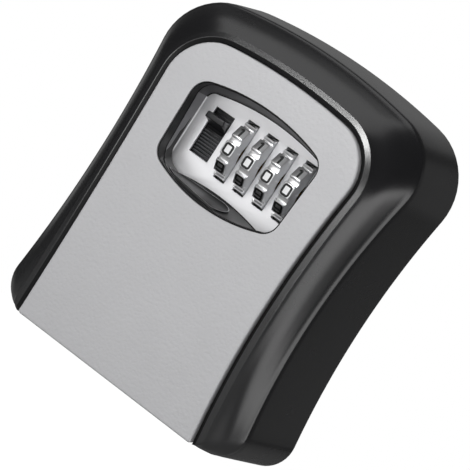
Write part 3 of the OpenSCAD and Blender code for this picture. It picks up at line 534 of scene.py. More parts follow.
def coated_sheet(name, base):
    """Hot-dip zinc on sheet steel: flat crystals some 4 mm wide, each with its own grey."""
    material, tree, place = start_finish(name)
    flake = node(tree, "ShaderNodeTexVoronoi", {"Vector": place, "Scale": per_mm(4.0)})
    grey = node(tree, "ShaderNodeSeparateColor", {"Color": flake.outputs["Color"]})
    tone = node(tree, "ShaderNodeValToRGB", {"Fac": grey})
    tone.color_ramp.elements[0].color = toned(base, 0.82)
    tone.color_ramp.elements[1].color = toned(base, 1.12)
    dull = node(tree, "ShaderNodeMapRange", {"Value": grey, "To Min": 0.34, "To Max": 0.5})
    grit = node(tree, "ShaderNodeTexNoise", {"Vector": place, "Scale": per_mm(0.8), "Detail": 2.0})
    bump = node(tree, "ShaderNodeBump", {"Height": grit, "Distance": 0.01 * MM, "Strength": 0.5})
    return end_finish(material, {"Base Color": tone, "Roughness": dull, "Normal": bump, "Metallic": 0.55})


def make_finishes(look):
    """All finishes by name, made once; sizes of patches and marks in mm."""
    return {
        "shell": moulded_black("abs_satin_black", look.shell, (0.23, 0.3), gloss=1.0),
        "door": grained_grey("abs_leather_grain_grey", look.door),
        "liner": moulded_black("abs_liner_black", look.liner, (0.42, 0.5), gloss=0.25),
        # Painted light on the black liner's side walls.
        "painted_light_band": moulded_black("abs_liner_painted_light", look.painted_light_band, (0.38, 0.46)),
        # Dimmer painted light on the black liner's top wall.
        "wall": moulded_black("abs_liner_painted_dim_light", look.wall, (0.42, 0.5)),
        "slider": moulded_black("acetal_black", look.slider, (0.3, 0.38)),
        # Painted sheen on the slider's ribs, lighter than the slider's black.
        "rib": moulded_black("acetal_painted_sheen", look.rib, (0.24, 0.32)),
        "digit": moulded_black("enamel_fill_black", look.digit, (0.55, 0.65)),
        # Silver lacquer on brass sheet: nearly white where it faces the light.
        "plate": bright_metal("lacquer_satin_silver", look.plate, (0.34, 0.42), patch=20, etch=0.5,
                              deep=0.004, metal=0.5),
        # Chrome on die-cast zinc: sharp light and dark bands on the round parts.
        "dial": bright_metal("chromed_zinc", look.dial, (0.28, 0.36), patch=6, etch=0.9, deep=0.0015),
        # Tumbled zinc without chrome: an even mid grey.
        "dial_side": bright_metal("tumbled_zinc", look.dial_side, (0.5, 0.6), patch=6, etch=0.7,
                                  deep=0.01, metal=0.1),
        # Zinc plating: cool grey with a soft shine.
        "steel": bright_metal("zinc_plated_steel", look.steel, (0.26, 0.38), patch=5, etch=0.5,
                              deep=0.006),
        "tray": coated_sheet("hot_dip_zinc_sheet", look.tray),
        # Die casting: a dull skin with fine pits.
        "casting": bright_metal("die_cast_zinc", look.casting, (0.42, 0.56), patch=8, etch=0.7,
                                deep=0.02),
        # Turned brass: fine rings across the axis.
        "brass": bright_metal("turned_brass", look.brass, (0.2, 0.3), patch=6, etch=0.5, deep=0.006,
                              stretch=(6, 1, 1)),
        # Tempered strip and wire: dark grey with a clean shine.
        "spring": bright_metal("tempered_spring_steel", look.spring, (0.22, 0.32), patch=6, etch=0.5,
                               deep=0.004),
    }


def finish(name):
    """A finish by its name; the first call makes them all."""
    if not finish.made:
        finish.made = make_finishes(bpy.context.scene.key_safe_finish)
    return finish.made[name]


finish.made = {}


# Node trees for what repeats

RIB_SIDES = 14   # sides of a rib's round
COIL_STEPS = 24  # steps in one turn of a coil
WIRE_SIDES = 10  # sides of a coil's wire


def sockets(tree, *inputs):
    """Declares a tree's named inputs and its one result; gives back the input node's outputs."""
    for name, kind in inputs:
        tree.interface.new_socket(name, in_out="INPUT", socket_type="NodeSocket" + kind)
    tree.interface.new_socket("Result", in_out="OUTPUT", socket_type="NodeSocketGeometry")
    return node(tree, "NodeGroupInput").outputs


def close_tree(tree, instances, given):
    """Ends a tree: instances made real, in the given finish."""
    real = node(tree, "GeometryNodeRealizeInstances", {"Geometry": instances})
    dressed = node(tree, "GeometryNodeSetMaterial", {"Geometry": real, "Material": given["Finish"]})
    node(tree, "NodeGroupOutput", {"Result": dressed})
    return tree


def copies_tree():
    """One copy of a piece on each point of the mesh."""
    tree = bpy.data.node_groups.new("copies_on_points", "GeometryNodeTree")
    given = sockets(tree, ("Points", "Geometry"), ("Piece", "Object"), ("Finish", "Material"))
    shape = node(tree, "GeometryNodeObjectInfo", {"Object": given["Piece"]}).outputs["Geometry"]
    spread = node(tree, "GeometryNodeInstanceOnPoints", {"Points": given["Points"], "Instance": shape})
    return close_tree(tree, spread, given)


def ribs_tree():
    """Round ribs across a plate, one pitch apart, left out where the ledge stands."""
    tree = bpy.data.node_groups.new("ribs_up_a_plate", "GeometryNodeTree")
    given = sockets(tree, ("Plate", "Geometry"), ("Start", "Vector"), ("Step", "Vector"),
                    ("Count", "Int"), ("Left", "Vector"), ("Right", "Vector"), ("Radius", "Float"),
                    ("Ledge Foot", "Float"), ("Ledge Top", "Float"), ("Finish", "Material"))
    row = node(tree, "GeometryNodeMeshLine", {
        "Count": given["Count"], "Start Location": given["Start"], "Offset": given["Step"]})
    place = node(tree, "GeometryNodeInputPosition")
    level = node(tree, "ShaderNodeSeparateXYZ", {"Vector": place}).outputs["Z"]
    over = node(tree, "FunctionNodeCompare", {"A": level, "B": given["Ledge Foot"]},
                operation="GREATER_THAN")
    below = node(tree, "FunctionNodeCompare", {"A": level, "B": given["Ledge Top"]},
                 operation="LESS_THAN")
    hidden = node(tree, "FunctionNodeBooleanMath", {0: over, 1: below}, operation="AND")
    kept = node(tree, "GeometryNodeDeleteGeometry", {"Geometry": row, "Selection": hidden})
    path = node(tree, "GeometryNodeCurvePrimitiveLine", {"Start": given["Left"], "End": given["Right"]})
    ring = node(tree, "GeometryNodeCurvePrimitiveCircle", {
        "Resolution": RIB_SIDES, "Radius": given["Radius"]})
    rib = node(tree, "GeometryNodeCurveToMesh", {"Curve": path, "Profile Curve": ring, "Fill Caps": True})
    spread = node(tree, "GeometryNodeInstanceOnPoints", {"Points": kept, "Instance": rib})
    return close_tree(tree, spread, given)


def coil_tree():
    """Round wire wound into a coil that stands on a place."""
    tree = bpy.data.node_groups.new("coil_on_a_place", "GeometryNodeTree")
    given = sockets(tree, ("Base", "Geometry"), ("Place", "Vector"), ("Turns", "Float"),
                    ("Radius", "Float"), ("Height", "Float"), ("Wire", "Float"), ("Finish", "Material"))
    path = node(tree, "GeometryNodeCurveSpiral", {
        "Resolution": COIL_STEPS, "Rotations": given["Turns"], "Start Radius": given["Radius"],
        "End Radius": given["Radius"], "Height": given["Height"]})
    wire = node(tree, "GeometryNodeCurvePrimitiveCircle", {
        "Resolution": WIRE_SIDES, "Radius": given["Wire"]})
    coil = node(tree, "GeometryNodeCurveToMesh", {"Curve": path, "Profile Curve": wire, "Fill Caps": True})
    placed = node(tree, "GeometryNodeTransform", {"Geometry": coil, "Translation": given["Place"]})
    return close_tree(tree, placed, given)


def grow(piece, tree, **inputs):
    """Runs a node tree on a piece with the given inputs and keeps its result as plain mesh."""
    made = piece.modifiers.new(tree.name, "NODES")
    made.node_group = tree
    names = {item.name: item.identifier for item in tree.interface.items_tree
             if item.item_type == "SOCKET" and item.in_out == "INPUT"}
    for name, value in inputs.items():
        made[names[name.replace("_", " ")]] = value
    return settle(piece)


def copies(name, points, stock, finish_name):
    """One piece of copies of a stock piece on points; the stock piece is removed."""
    tree = bpy.data.node_groups.get("copies_on_points") or copies_tree()
    spots = Form()
    spots.points = [Vector(p) for p in points]
    piece = grow(spots.piece(name), tree, Piece=stock, Finish=finish(finish_name))
    drop(stock)
    return shaded(piece)


# Shapes of the body

RUN_OUT = 1.4 * MM    # height of the opening's lower end above the shell's foot
RUN_OUT_LEAN = 0.06   # share of the opening's growth by which that end lies lower
RUN_OUT_R = 0.4 * MM  # least radius of the opening's bottom corners
# What the ridge's outline has more than the back edge's, beside its inset and its drop
RIDGE_SHIFT = Edge(half=0, waist=-3 * MM, side=0, top=0, crown=-25 * MM, corner=-2.1 * MM, foot=0.6 * MM,
                   heel=-MM)
# Section of the ridge, outwards from it and forwards of it, in radii of its roll
RIDGE_SECTION = ((0.25, -1), (-0.1, 0), (-1, 1))
# Section of the rim, outwards from the opening and down from the rim's depth, in rim widths:
# the edge of the bevel, a flat lip that leans outwards and a slope that leads in to the door, whose duller,
# darker black is painted shade of the gap.
RIM_SECTION = ((1.75, 0.9), (1.25, 0.42), (1.15, 0.324), (1.05, 0.293), (0.4, 0.091), (0.3, 0.06),
               (0.22, 0.09), (0.12, 0.17), (-0.8, 0.73))
GAP_SHADE_POINTS = 2   # last points of that section, which lie on the slope with painted shade
SHELL_ROUNDS = 3  # times that the corners of the shell's section are cut

# Heads of screws and rivets as (radius, height) points, and the cross recess in a screw's head
SUNK_HEAD = in_mm((2.1, 0), (2.31, 0.12), (1.1, 1.2))
PAN_HEAD = in_mm((1.3, 0), (1.72, 0.2), (1.9, 0.55), (1.9, 1.2))
RIVET_HEAD = in_mm((0.5, 0), (1.1, 0.12), (1.5, 0.36), (1.6, 0.6), (1, 0.6))
CROSS_ARMS = ((0.16, 0.62), (0.62, 0.16))  # half sizes of its two arms, in head radii
CROSS_SECTION = ((-MM, 1.1), (0.75 * MM, 0.55))  # depth in the head, and size there
POST_SIDES = 28  # sides of a round screw post

# Hinge in the door
EAR_X = 24 * MM         # distance of the tray's two ears from the middle
EAR_HALF = 2.3 * MM     # half the width of the gap for an ear
EAR_DEPTHS = (26 * MM, 32.9 * MM)  # depths between which the skirt is cut for an ear
KNUCKLE_R = 2.3 * MM
KNUCKLE_BORE = 1.05 * MM
KNUCKLE_W = 5 * MM


def door_front(body, z):
    """Depth of the door's front at a height."""
    return body.door_depth - (z - body.door_bow_z) ** 2 / (2 * body.door_bow)


def door_edge(body):
    """Outline of the door."""
    return Edge(body.door_w / 2, body.door_waist_z, body.door_side_r, body.door_top, body.door_top_r,
                body.door_corner_r, body.door_foot, body.door_foot_r)


def opening_edge(body, d):
    """The door's opening in the shell, grown by d; it runs out at the shell's foot."""
    foot = RUN_OUT - body.body_h / 2 - RUN_OUT_LEAN * d
    heel = max(body.door_foot_r + d, RUN_OUT_R)
    return door_edge(body).grown(body.door_gap + d)._replace(foot=foot, heel=heel)


def shell_rings(body):
    """Rings of the shell's outside and inside, from the wall to the rim of the opening."""
    top, wall, roll, rim = body.body_h / 2, body.shell_wall, body.ridge_roll, body.rim_roll
    back = Edge(body.waist_w / 2 - SKIN, body.waist_z, body.side_r, top, body.top_r, body.corner_r, -top,
                body.foot_r)
    shift = RIDGE_SHIFT._replace(half=-body.ridge_in, top=-body.ridge_drop)
    ridge = Edge(*(a + b for a, b in zip(back, shift)))
    middle = ridge.blended(opening_edge(body, rim), 0.5)

    def ring(edge, share, step):
        """Outline on the bevel, a share of the way from the ridge's depth to the rim's."""
        def depth(z):
            low = body.ridge_depth - (z - body.ridge_bow_z) ** 2 / (2 * body.ridge_bow)
            return low + (door_front(body, z) - body.rim_below - low) * share + step
        return [Vector((x, -depth(z), z)) for x, z in mirrored(right_half(edge))]

    # The sides run straight from the back edge to a ring just behind the ridge.
    side_lean, side_end = 0.12, -3 * roll
    side = ridge.grown(RIDGE_SECTION[0][0] * roll).blended(back, side_lean)
    outside = [[Vector((x, 0, z)) for x, z in mirrored(right_half(back))], ring(side, 0, side_end)]
    outside += [ring(ridge.grown(out * roll), 0, ahead * roll) for out, ahead in RIDGE_SECTION]
    # The bevel is a little hollow next to the ridge and full in its middle.
    start_share, start_depth, start_step, middle_depth = 0.3, 0.21, 0.4 * roll, 0.58
    start = ridge.grown(-roll).blended(middle, start_share)
    outside += [ring(start, start_depth, start_step), ring(middle, middle_depth, 0)]
    outside += [ring(opening_edge(body, out * rim), 1, -down * rim) for out, down in RIM_SECTION]
    # The hollow follows the outside a wall further in, and ends under the rim.
    lip_in, lip_thick = 0.6 * MM, 1.4 * MM
    inside = [[Vector((x, MM, z)) for x, z in mirrored(right_half(back.grown(-wall, -wall)))],
              ring(ridge.grown(-wall, -wall), 0, -0.75 * wall),
              ring(middle.grown(-wall / 2, -wall), 0.62, -wall),
              ring(opening_edge(body, -lip_in).grown(0, -wall), 1, -lip_thick - 1.5 * wall)]
    columns = [eased(list(column), SHELL_ROUNDS) for column in zip(*outside)]
    return [list(each) for each in zip(*columns)], inside


def widest(head):
    """Radius of a head."""
    return max(r for r, _ in head)


def corner_points(node_name, head):
    """The four places of a node's screws, from its box: x and z inside its corners, y at its back."""
    low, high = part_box(node_name)
    r = widest(head)
    return [Vector((x, high.y, z)) for x in (low.x + r, high.x - r) for z in (low.z + r, high.z - r)]


def both_ends(x0, x1, soft, section):
    """Steps along a piece with rounded ends, from x0 to x1: place, and how far in. The section of
    its first end has the same two, in widths of the round."""
    start = [(x0 + along * soft, inward * soft) for along, inward in section]
    return start + [(x1 - along * soft, inward * soft) for along, inward in reversed(section)]


class KEYSAFE_OT_shell(Operator):
    """Black shell: hollow sides, a rolled ridge and a bevel that runs in to the door."""
    bl_idname = "keysafe.shell"
    bl_label = "Shell"

    def execute(self, context):
        body = context.scene.key_safe_body
        outside, inside = shell_rings(body)
        skin, hollow, mouth, posts = Form(), Form(), Form(), Form()
        skin.skin(outside, ladder=True)
        hollow.skin(inside, ladder=True)
        around = len(outside[0])
        # The slope into the door gap takes the liner's duller, darker black: painted shade of the gap.
        dull = 2 ** SHELL_ROUNDS * GAP_SHADE_POINTS * around
        sides = (len(outside) - 1) * around
        skin.finishes[sides - dull:sides] = [1] * dull
        mouth_out = -0.45 * body.rim_roll
        opening = opening_edge(body, mouth_out)._replace(foot=-body.body_h / 2 - body.foot_r)
        mouth.prism(mirrored(right_half(opening)), body.mouth_depth, body.door_depth + MM)
        shell = skin.piece("outer_shell_skin", finish("shell"), finish("liner"))
        carve(shell, hollow.piece("hollow"), mouth.piece("mouth"))
        for spot in corner_points("tray_screws", SUNK_HEAD):
            self.post(posts, spot.x, spot.z)
        gathered(shell, posts.piece("posts"))
        hand_over(shaded(shell, degrees=32), "base", "shell", "outer_shell")
        return {"FINISHED"}

    def post(self, form, x, z):
        """Round post for a tray screw, with a web to the shell's side."""
        r, back, front = 3 * MM, 1.6 * MM, 20 * MM
        web_long, web_back, web_half = 3.6 * MM, 10 * MM, 1.2 * MM
        end = x + math.copysign(web_long, x)
        form.prism(arc(x, z, r, 0, TURN, POST_SIDES)[:-1], back, front)
        form.block(min(x, end), max(x, end), web_back, front, z - web_half, z + web_half)


class KEYSAFE_OT_door(Operator):
    """Grey door: bowed front with a rounded edge, skirt, window, screw posts and hinge knuckles."""
    bl_idname = "keysafe.door"
    bl_label = "Door"

    def execute(self, context):
        body, lock = context.scene.key_safe_body, context.scene.key_safe_lock
        edge, r, round_steps = door_edge(body), body.door_edge_r, 5
        back = body.door_depth - body.skirt_depth
        window_back = back - 5 * MM
        low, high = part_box("hinge_pin")
        pin = (low + high) / 2

        def ring(d, behind):
            """The door's outline, d smaller, a distance behind its front."""
            return [(x, behind - door_front(body, z), z)
                    for x, z in mirrored(right_half(edge.grown(-d, -d)))]

        rings = [[(x, -back, z) for x, z in mirrored(right_half(edge))]]
        turns = [math.pi / 2 * i / round_steps for i in range(round_steps + 1)]
        rings += [ring(r * (1 - math.cos(t)), r * (1 - math.sin(t))) for t in turns]
        outer, hollow, window, notches = Form(), Form(), Form(), Form()
        outer.skin(rings, ladder=True)
        inner = mirrored(right_half(edge.grown(-body.skirt_wall, -body.skirt_wall)))
        hollow.skin([[(x, MM - back, z) for x, z in inner],
                     [(x, body.door_wall - door_front(body, z), z) for x, z in inner]], ladder=True)
        window.prism(window_edge(lock, 0), window_back, body.door_depth + MM)
        for x in (EAR_X, -EAR_X):
            notches.block(x - EAR_HALF, x + EAR_HALF, *EAR_DEPTHS, body.door_foot - MM, pin.z + KNUCKLE_R)
        door = outer.piece("door_skin", finish("door"))
        carve(door, hollow.piece("hollow"), window.piece("window"), notches.piece("notches"))
        gathered(door, self.fittings(body, back, pin).piece("fittings"))
        hand_over(shaded(door, degrees=32), "door", "door", "door_panel")
        return {"FINISHED"}

    def fittings(self, body, back, pin):
        """Foot of the skirt between the ears, hinge knuckles with webs to the door, and screw posts."""
        form = Form()
        foot_back, web_ahead, web_half = 27.6 * MM, 1.5 * MM, 1.7 * MM
        post_r, post_back = 2.1 * MM, 27.3 * MM
        half, inner, outer = body.door_w / 2, EAR_X - EAR_HALF, EAR_X + EAR_HALF
        for x0, x1 in ((-half, -outer), (-inner, inner), (outer, half)):
            form.block(x0, x1, foot_back, back + MM / 2, body.door_foot, body.door_foot + body.skirt_wall)
        for x in (EAR_X, -EAR_X):
            for x0 in (x - EAR_HALF - KNUCKLE_W, x + EAR_HALF):
                x1 = x0 + KNUCKLE_W
                form.tube(x0, x1, -pin.y, pin.z, KNUCKLE_R, KNUCKLE_BORE)
                form.block(x0, x1, web_ahead - pin.y, door_front(body, pin.z) - MM, pin.z - web_half,
                           pin.z + web_half)
        for spot in corner_points("chassis_screws", PAN_HEAD):
            form.prism(arc(spot.x, spot.z, post_r, 0, TURN, POST_SIDES)[:-1], post_back,
                       door_front(body, spot.z) - MM)
        return form


# Section of the liner's lip, outwards from the window's edge and behind the lip's crest
LIP_SECTION = in_mm((-0.02, 1.85), (-0.02, 0.25), (-0.1, 0.05), (-0.35, 0), (-0.5, 0.1), (-0.5, 0.4))
WALL_SHARES = (0, 0.03, 0.35, 0.7, 1)  # lines on the liner's walls, from their front to the lock face
WALL_IN = 0.65 * MM    # distance of the walls inside the window's edge
WALL_END = 0.25 * MM   # distance of the walls' end in front of the lock face
# Section of the thumb pad, inwards from its edge and up from the liner's wall
PAD_SECTION = in_mm((0, -0.6), (0, 0.28), (0.12, 0.4), (0.4, 0.4), (0.55, 0.25))
PAD_STEPS = 14  # steps round each end of the pad


class KEYSAFE_OT_liner(Operator):
    """Black liner of the window: front lip, walls that run in to the lock face with painted light in grey
    at the sides and dark grey above, thumb pad.
    """
    bl_idname = "keysafe.liner"
    bl_label = "Window liner"

    def execute(self, context):
        body, lock = context.scene.key_safe_body, context.scene.key_safe_lock
        low, flange, thick = lock.face_front, 1.2 * MM, 1.5 * MM
        fit, tuck, land = 0.02 * MM, 0.3 * MM, 0.2 * MM

        def front(d, behind):
            """Window outline, grown by d, a distance behind the door's front."""
            return [(x, behind - door_front(body, z), z) for x, z in window_edge(lock, d)]

        def flat(line, depth):
            return [(x, -depth, z) for x, z in line]

        lip = [front(out, lock.liner_below + behind) for out, behind in LIP_SECTION]
        lip.append([self.on_wall(body, lock, a, a, 0) for a in window_edge(lock, LIP_SECTION[-1][0])])
        pairs = list(zip(window_edge(lock, -WALL_IN), face_edge(lock, 0)))
        walls = [[self.on_wall(body, lock, a, b, share) for a, b in pairs] for share in WALL_SHARES]
        foot = [flat(face_edge(lock, -tuck), low + fit), flat(face_edge(lock, land), low),
                flat(window_edge(lock, flange), low), flat(window_edge(lock, flange), low + thick),
                flat(window_edge(lock, -fit), low + thick)]
        form = Form()
        form.skin(lip + walls + foot, wrap=True)
        black, grey, painted_dim_top, silver = range(4)
        side_x = 0.498 * lock.show_w  # the straight sides lie further out than this
        n, first, last = len(lip[0]), len(lip), len(lip) + len(walls) - 1
        # Painted light on the black liner: light grey on the side walls and dark grey on the top wall; the
        # bottom wall keeps the liner's own black.
        for i, (x, z) in enumerate(face_edge(lock, 0)):
            at_side = abs(x) > side_x
            coat = grey if at_side else painted_dim_top if z > lock.axis_z else black
            form.finishes[first * n + i:last * n:n] = [coat] * (last - first)
            form.finishes[last * n + i] = silver if at_side else black
        liner = form.piece("window_liner", finish("liner"), finish("painted_light_band"), finish("wall"), finish("plate"))
        hand_over(shaded(liner, degrees=40), "door", "bezel", "window_bezel")
        hand_over(shaded(self.pad(body, lock), degrees=50), "door", "bezel")
        return {"FINISHED"}

    def on_wall(self, body, lock, a, b, share):
        """Point between a place a on the window's edge and a place b on the lock face's edge. The
        walls start near the door's front above and below, and at the band's edge at the sides."""
        turn_x, turn_w, below_lip = 17 * MM, 4 * MM, 0.8 * MM
        to_side = min(max((abs(a[0]) - turn_x) / turn_w, 0.0), 1.0)
        near = door_front(body, a[1]) - lock.liner_below - below_lip
        edge = near + (lock.face_front + lock.liner_step - near) * to_side
        depth = edge + (lock.face_front + WALL_END - edge) * share
        return (a[0] + (b[0] - a[0]) * share, -depth, a[1] + (b[1] - a[1]) * share)

    def pad(self, body, lock):
        """Thumb pad on the bottom wall: a flat oval with a raised rim."""
        left, right, r = -13.5 * MM, 0.6 * MM, 4.1 * MM
        wall_half, wall_up = 5.6 * MM, 0.5 * MM
        deep = (lock.face_front + WALL_END + door_front(body, 0) - lock.liner_below) / 2

        def oval(shrink, lift):
            made = []
            for x, depth in (arc(right, deep, r - shrink, -math.pi / 2, math.pi / 2, PAD_STEPS)
                             + arc(left, deep, r - shrink, math.pi / 2, 1.5 * math.pi, PAD_STEPS)):
                share = (deep + wall_half - depth) / (2 * wall_half)
                low = lock.axis_z - lock.window_down + wall_up + x * x / (2 * lock.window_foot_r)
                high = lock.show_foot - (x - lock.show_foot_x) ** 2 / (2 * lock.show_foot_r)
                made.append((x, -depth, low + (high - low) * share + lift))
            return made

        rings = [oval(shrink, lift) for shrink, lift in PAD_SECTION]
        form, n = Form(), len(rings[0])
        form.skin(rings)
        form.finishes[2 * n:3 * n] = [1] * n  # the rim's top, in the liner's grey: a painted highlight
        return form.piece("thumb_pad", finish("liner"), finish("painted_light_band"))


class KEYSAFE_OT_lock_face(Operator):
    """Silver lock face: a plate with softened edges, four dial slots and the slider's slot."""
    bl_idname = "keysafe.lock_face"
    bl_label = "Lock face"

    def execute(self, context):
        lock = context.scene.key_safe_lock
        low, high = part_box("lock_face")
        plate, slots = Form(), Form()
        plate.block(low.x, high.x, -high.y, -low.y, low.z, high.z)
        # Each slot's reach past the sides of the piece in it, and half its height
        reaches = {name: (0.15 * MM, 9.75 * MM) for name in DIALS}
        reaches["open_slider"] = (-0.3 * MM, 7.55 * MM)
        for name, (out, half) in reaches.items():
            a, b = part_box(name)
            slots.block(a.x - out, b.x + out, -high.y - MM, -low.y + MM, lock.axis_z - half,
                        lock.axis_z + half)
        face = plate.piece("lock_plate", finish("plate"))
        carve(face, slots.piece("slots"))
        hand_over(shaded(softened(face, mm=0.16), degrees=30), "door", "face", "lock_face")
        return {"FINISHED"}


# Digits as strokes in a box one wide and one high; True closes a stroke.
STROKES = {
    0: [([(0, 0), (0.5, 0), (1, 0), (1, 0.5), (1, 1), (0.5, 1), (0, 1), (0, 0.5)], True)],
    1: [([(0.2, 0.78), (0.55, 1), (0.55, 0.5), (0.55, 0)], False)],
    2: [([(0, 0.8), (0.05, 1), (0.95, 1), (1, 0.6), (0.5, 0.3), (0, 0), (0, 0), (1, 0)], False)],
    3: [([(0, 0.9), (0.3, 1), (0.95, 1), (1, 0.54), (0.4, 0.53)], False),
        ([(0.4, 0.53), (1, 0.52), (1, 0), (0.3, 0), (0, 0.1)], False)],
    4: [([(0.75, 0), (0.75, 0.5), (0.75, 1), (0.75, 1), (0, 0.3), (0, 0.3), (1, 0.3)], False)],
    5: [([(0.95, 1), (0.1, 1), (0.1, 1), (0.05, 0.55), (0.05, 0.55), (0.95, 0.62), (1, 0), (0.3, 0),
          (0, 0.08)], False)],
    6: [([(0, 0), (0.5, 0), (1, 0), (1, 0.3), (1, 0.58), (0.5, 0.58), (0, 0.58), (0, 0.3)], True),
        ([(0, 0.3), (0, 0.95), (0.4, 1), (0.95, 0.97)], False)],
    7: [([(0, 1), (1, 1), (1, 1), (0.6, 0.5), (0.35, 0)], False)],
    8: [([(0, 0), (0.5, 0), (1, 0), (1, 0.26), (1, 0.52), (0.5, 0.52), (0, 0.52), (0, 0.26)], True),
        ([(0.06, 0.52), (0.5, 0.52), (0.94, 0.52), (0.94, 0.76), (0.94, 1), (0.5, 1), (0.06, 1),
          (0.06, 0.76)], True)],
    9: [([(0, 0.42), (0.5, 0.42), (1, 0.42), (1, 0.7), (1, 1), (0.5, 1), (0, 1), (0, 0.7)], True),
        ([(1, 0.7), (1, 0.05), (0.6, 0), (0.05, 0.03)], False)],
}


FILL_TOP = 0.02 * MM    # top of a digit's fill above the flat
FILL_FOOT = -0.12 * MM  # foot of the fill inside the metal
# Half a flat of a dial and half the hollow beside it: across from the middle of each, and below
# the flat
FLAT_POINTS = in_mm((0, 0), (1.3, 0), (1.9, 0), (2.14, 0.2))
HOLLOW_POINTS = in_mm((0.86, 0.92), (0.4, 1.02))
# Rounded ends of a dial and of the slider's ledge, in widths of the round
DIAL_ROUND = ((0, 1), (0.3, 0.3), (1, 0))
LEDGE_ROUND = ((0, 1), (0.15, 0.45), (0.5, 0.12), (1, 0))


def add_digit(form, digit, spot, right, up, out, lock):
    """A digit of even strokes on a flat whose middle is spot; it sinks into the metal."""
    for line, closed in STROKES[digit]:
        line = [Vector(((u - 0.5) * lock.digit_w, (v - 0.5) * lock.digit_h)) for u, v in line]
        rings = [[spot + right * q.x + up * q.y + out * h
                  for q, h in ((a, FILL_TOP), (b, FILL_TOP), (b, FILL_FOOT), (a, FILL_FOOT))]
                 for a, b in stroked(eased(line, 2, closed), lock.digit_stroke, closed)]
        form.skin(rings, 1, wrap=closed)


def dial_section(lock):
    """Section of a dial: ten flats with round shoulders and a hollow between each two."""
    tenth, r = TURN / 10, lock.dial_r
    out = Vector((math.sin(tenth / 2), math.cos(tenth / 2)))
    along = Vector((out.y, -out.x))
    half = [Vector((x, r - below)) for x, below in FLAT_POINTS]
    half += [out * (r - below) - along * x for x, below in HOLLOW_POINTS]
    sector = [Vector((-p.x, p.y)) for p in reversed(half[1:])] + half
    line = []
    for k in range(10):
        turn = Matrix.Rotation(-k * tenth, 2)
        line += [turn @ p for p in sector]
    return eased(line, 2, True)


class KEYSAFE_OT_dials(Operator):
    """Four bright dials with the digits 0 to 9 round each, 0 at the front."""
    bl_idname = "keysafe.dials"
    bl_label = "Dials"

    def execute(self, context):
        lock = context.scene.key_safe_lock
        section = dial_section(lock)
        circle = [p.normalized() for p in section]
        axis = Vector((0, -lock.axis_depth, lock.axis_z))

        def ring(line, x, size):
            """A line round the axis at x, times a size."""
            return [axis + Vector((x, -p.y * size, p.x * size)) for p in line]

        for number, name in enumerate(DIALS, 1):
            low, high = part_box(name)
            form, soft, n = Form(), 0.28 * MM, len(section)
            rings = [ring(section, x, 1 - inward / lock.dial_r)
                     for x, inward in both_ends(low.x, high.x, soft, DIAL_ROUND)]
            bores = [ring(circle, x, lock.dial_bore_r) for x in (low.x, high.x)]
            form.skin([bores[0], *rings, bores[1]], wrap=True)
            # The sides and the bore have a finish of their own.
            form.finishes[:n], form.finishes[-2 * n:] = [2] * n, [2] * (2 * n)
            self.mark(form, high.x, lock)
            middle = axis + Vector(((low.x + high.x) / 2, 0, 0))
            for digit in range(10):
                t = digit * TURN / 10
                out, up = Vector((0, -math.cos(t), math.sin(t))), Vector((0, math.sin(t), math.cos(t)))
                add_digit(form, digit, middle + out * lock.dial_r, Vector((1, 0, 0)), up, out, lock)
            dial = form.piece(f"number_dial_{number}", finish("dial"), finish("digit"), finish("dial_side"))
            hand_over(shaded(dial, degrees=30), f"wheel_{number}", "dial", name)
        return {"FINISHED"}

    def mark(self, form, x, lock):
        """Small bright mark on a dial's side, level with its digit 0."""
        sunk, proud, near, far, half = 0.1 * MM, 0.05 * MM, 4.5 * MM, 6.8 * MM, 0.22 * MM
        form.block(x - sunk, x + proud, lock.axis_depth + near, lock.axis_depth + far, lock.axis_z - half,
                   lock.axis_z + half)


class KEYSAFE_OT_slider(Operator):
    """Black slider: ribbed plate, thumb ledge with a hollow slope below, and its stem."""
    bl_idname = "keysafe.slider"
    bl_label = "Slider"

    def execute(self, context):
        lock = context.scene.key_safe_lock
        low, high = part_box("open_slider")
        front = lock.face_front - 1.3 * MM
        back, side_in = front - 0.6 * MM, 0.5 * MM
        stem_right, stem_back, stem_half = 5.1 * MM, 14.4 * MM, 4 * MM
        plate, ledge, stem = Form(), Form(), Form()
        plate.block(low.x, high.x, front - MM, front - lock.rib_r, low.z, high.z)
        line = self.ledge_line(front, back, -low.y, lock)
        centre = sum(line, Vector((0, 0))) / len(line)
        rings = []
        for x, inward in both_ends(low.x + side_in, high.x - side_in, 0.45 * MM, LEDGE_ROUND):
            ring = [p + (centre - p).normalized() * inward for p in line]
            rings.append([(x, -p.x, p.y) for p in ring])
        ledge.skin(rings)
        stem.block(low.x + side_in, low.x + stem_right, stem_back, back, lock.axis_z - stem_half,
                   lock.axis_z + stem_half)
        slider = softened(plate.piece("slider_body", finish("slider")), mm=0.12)
        gathered(slider, ledge.piece("ledge"), softened(stem.piece("stem"), mm=0.2))
        hand_over(shaded(slider, degrees=40), "latch", "slider", "open_slider")
        self.ribs(low, high, front, lock)
        return {"FINISHED"}

    def ledge_line(self, front, back, tip, lock):
        """Section of the ledge as (depth, height) points: flat top, blunt tip and a hollow slope."""
        top, foot = lock.ledge_top, lock.ledge_foot
        line = [(back, top), (tip - 1.2 * MM, top), (tip, top), (tip, top - MM), (tip, top - 1.9 * MM),
                (tip - 1.4 * MM, top - 2.1 * MM), (front + 1.8 * MM, top - 3.2 * MM),
                (front + 0.3 * MM, foot + 1.2 * MM), (front - 0.1 * MM, foot), (back, foot)]
        return eased([Vector(p) for p in line], 2, True)

    def ribs(self, low, high, front, lock):
        """Ribs on the plate, all but those behind the ledge."""
        side_in = 0.05 * MM
        ribs = grow(Form().piece("slider_ribs"), ribs_tree(), Count=int((high.z - low.z) / lock.rib_pitch),
                    Start=(0, lock.rib_r - front, low.z + lock.rib_pitch / 2), Step=(0, 0, lock.rib_pitch),
                    Left=(low.x + side_in, 0, 0), Right=(high.x - side_in, 0, 0), Radius=lock.rib_r,
                    Ledge_Foot=lock.ledge_foot, Ledge_Top=lock.ledge_top, Finish=finish("rib"))
        hand_over(shaded(ribs, degrees=60), "latch", "slider")


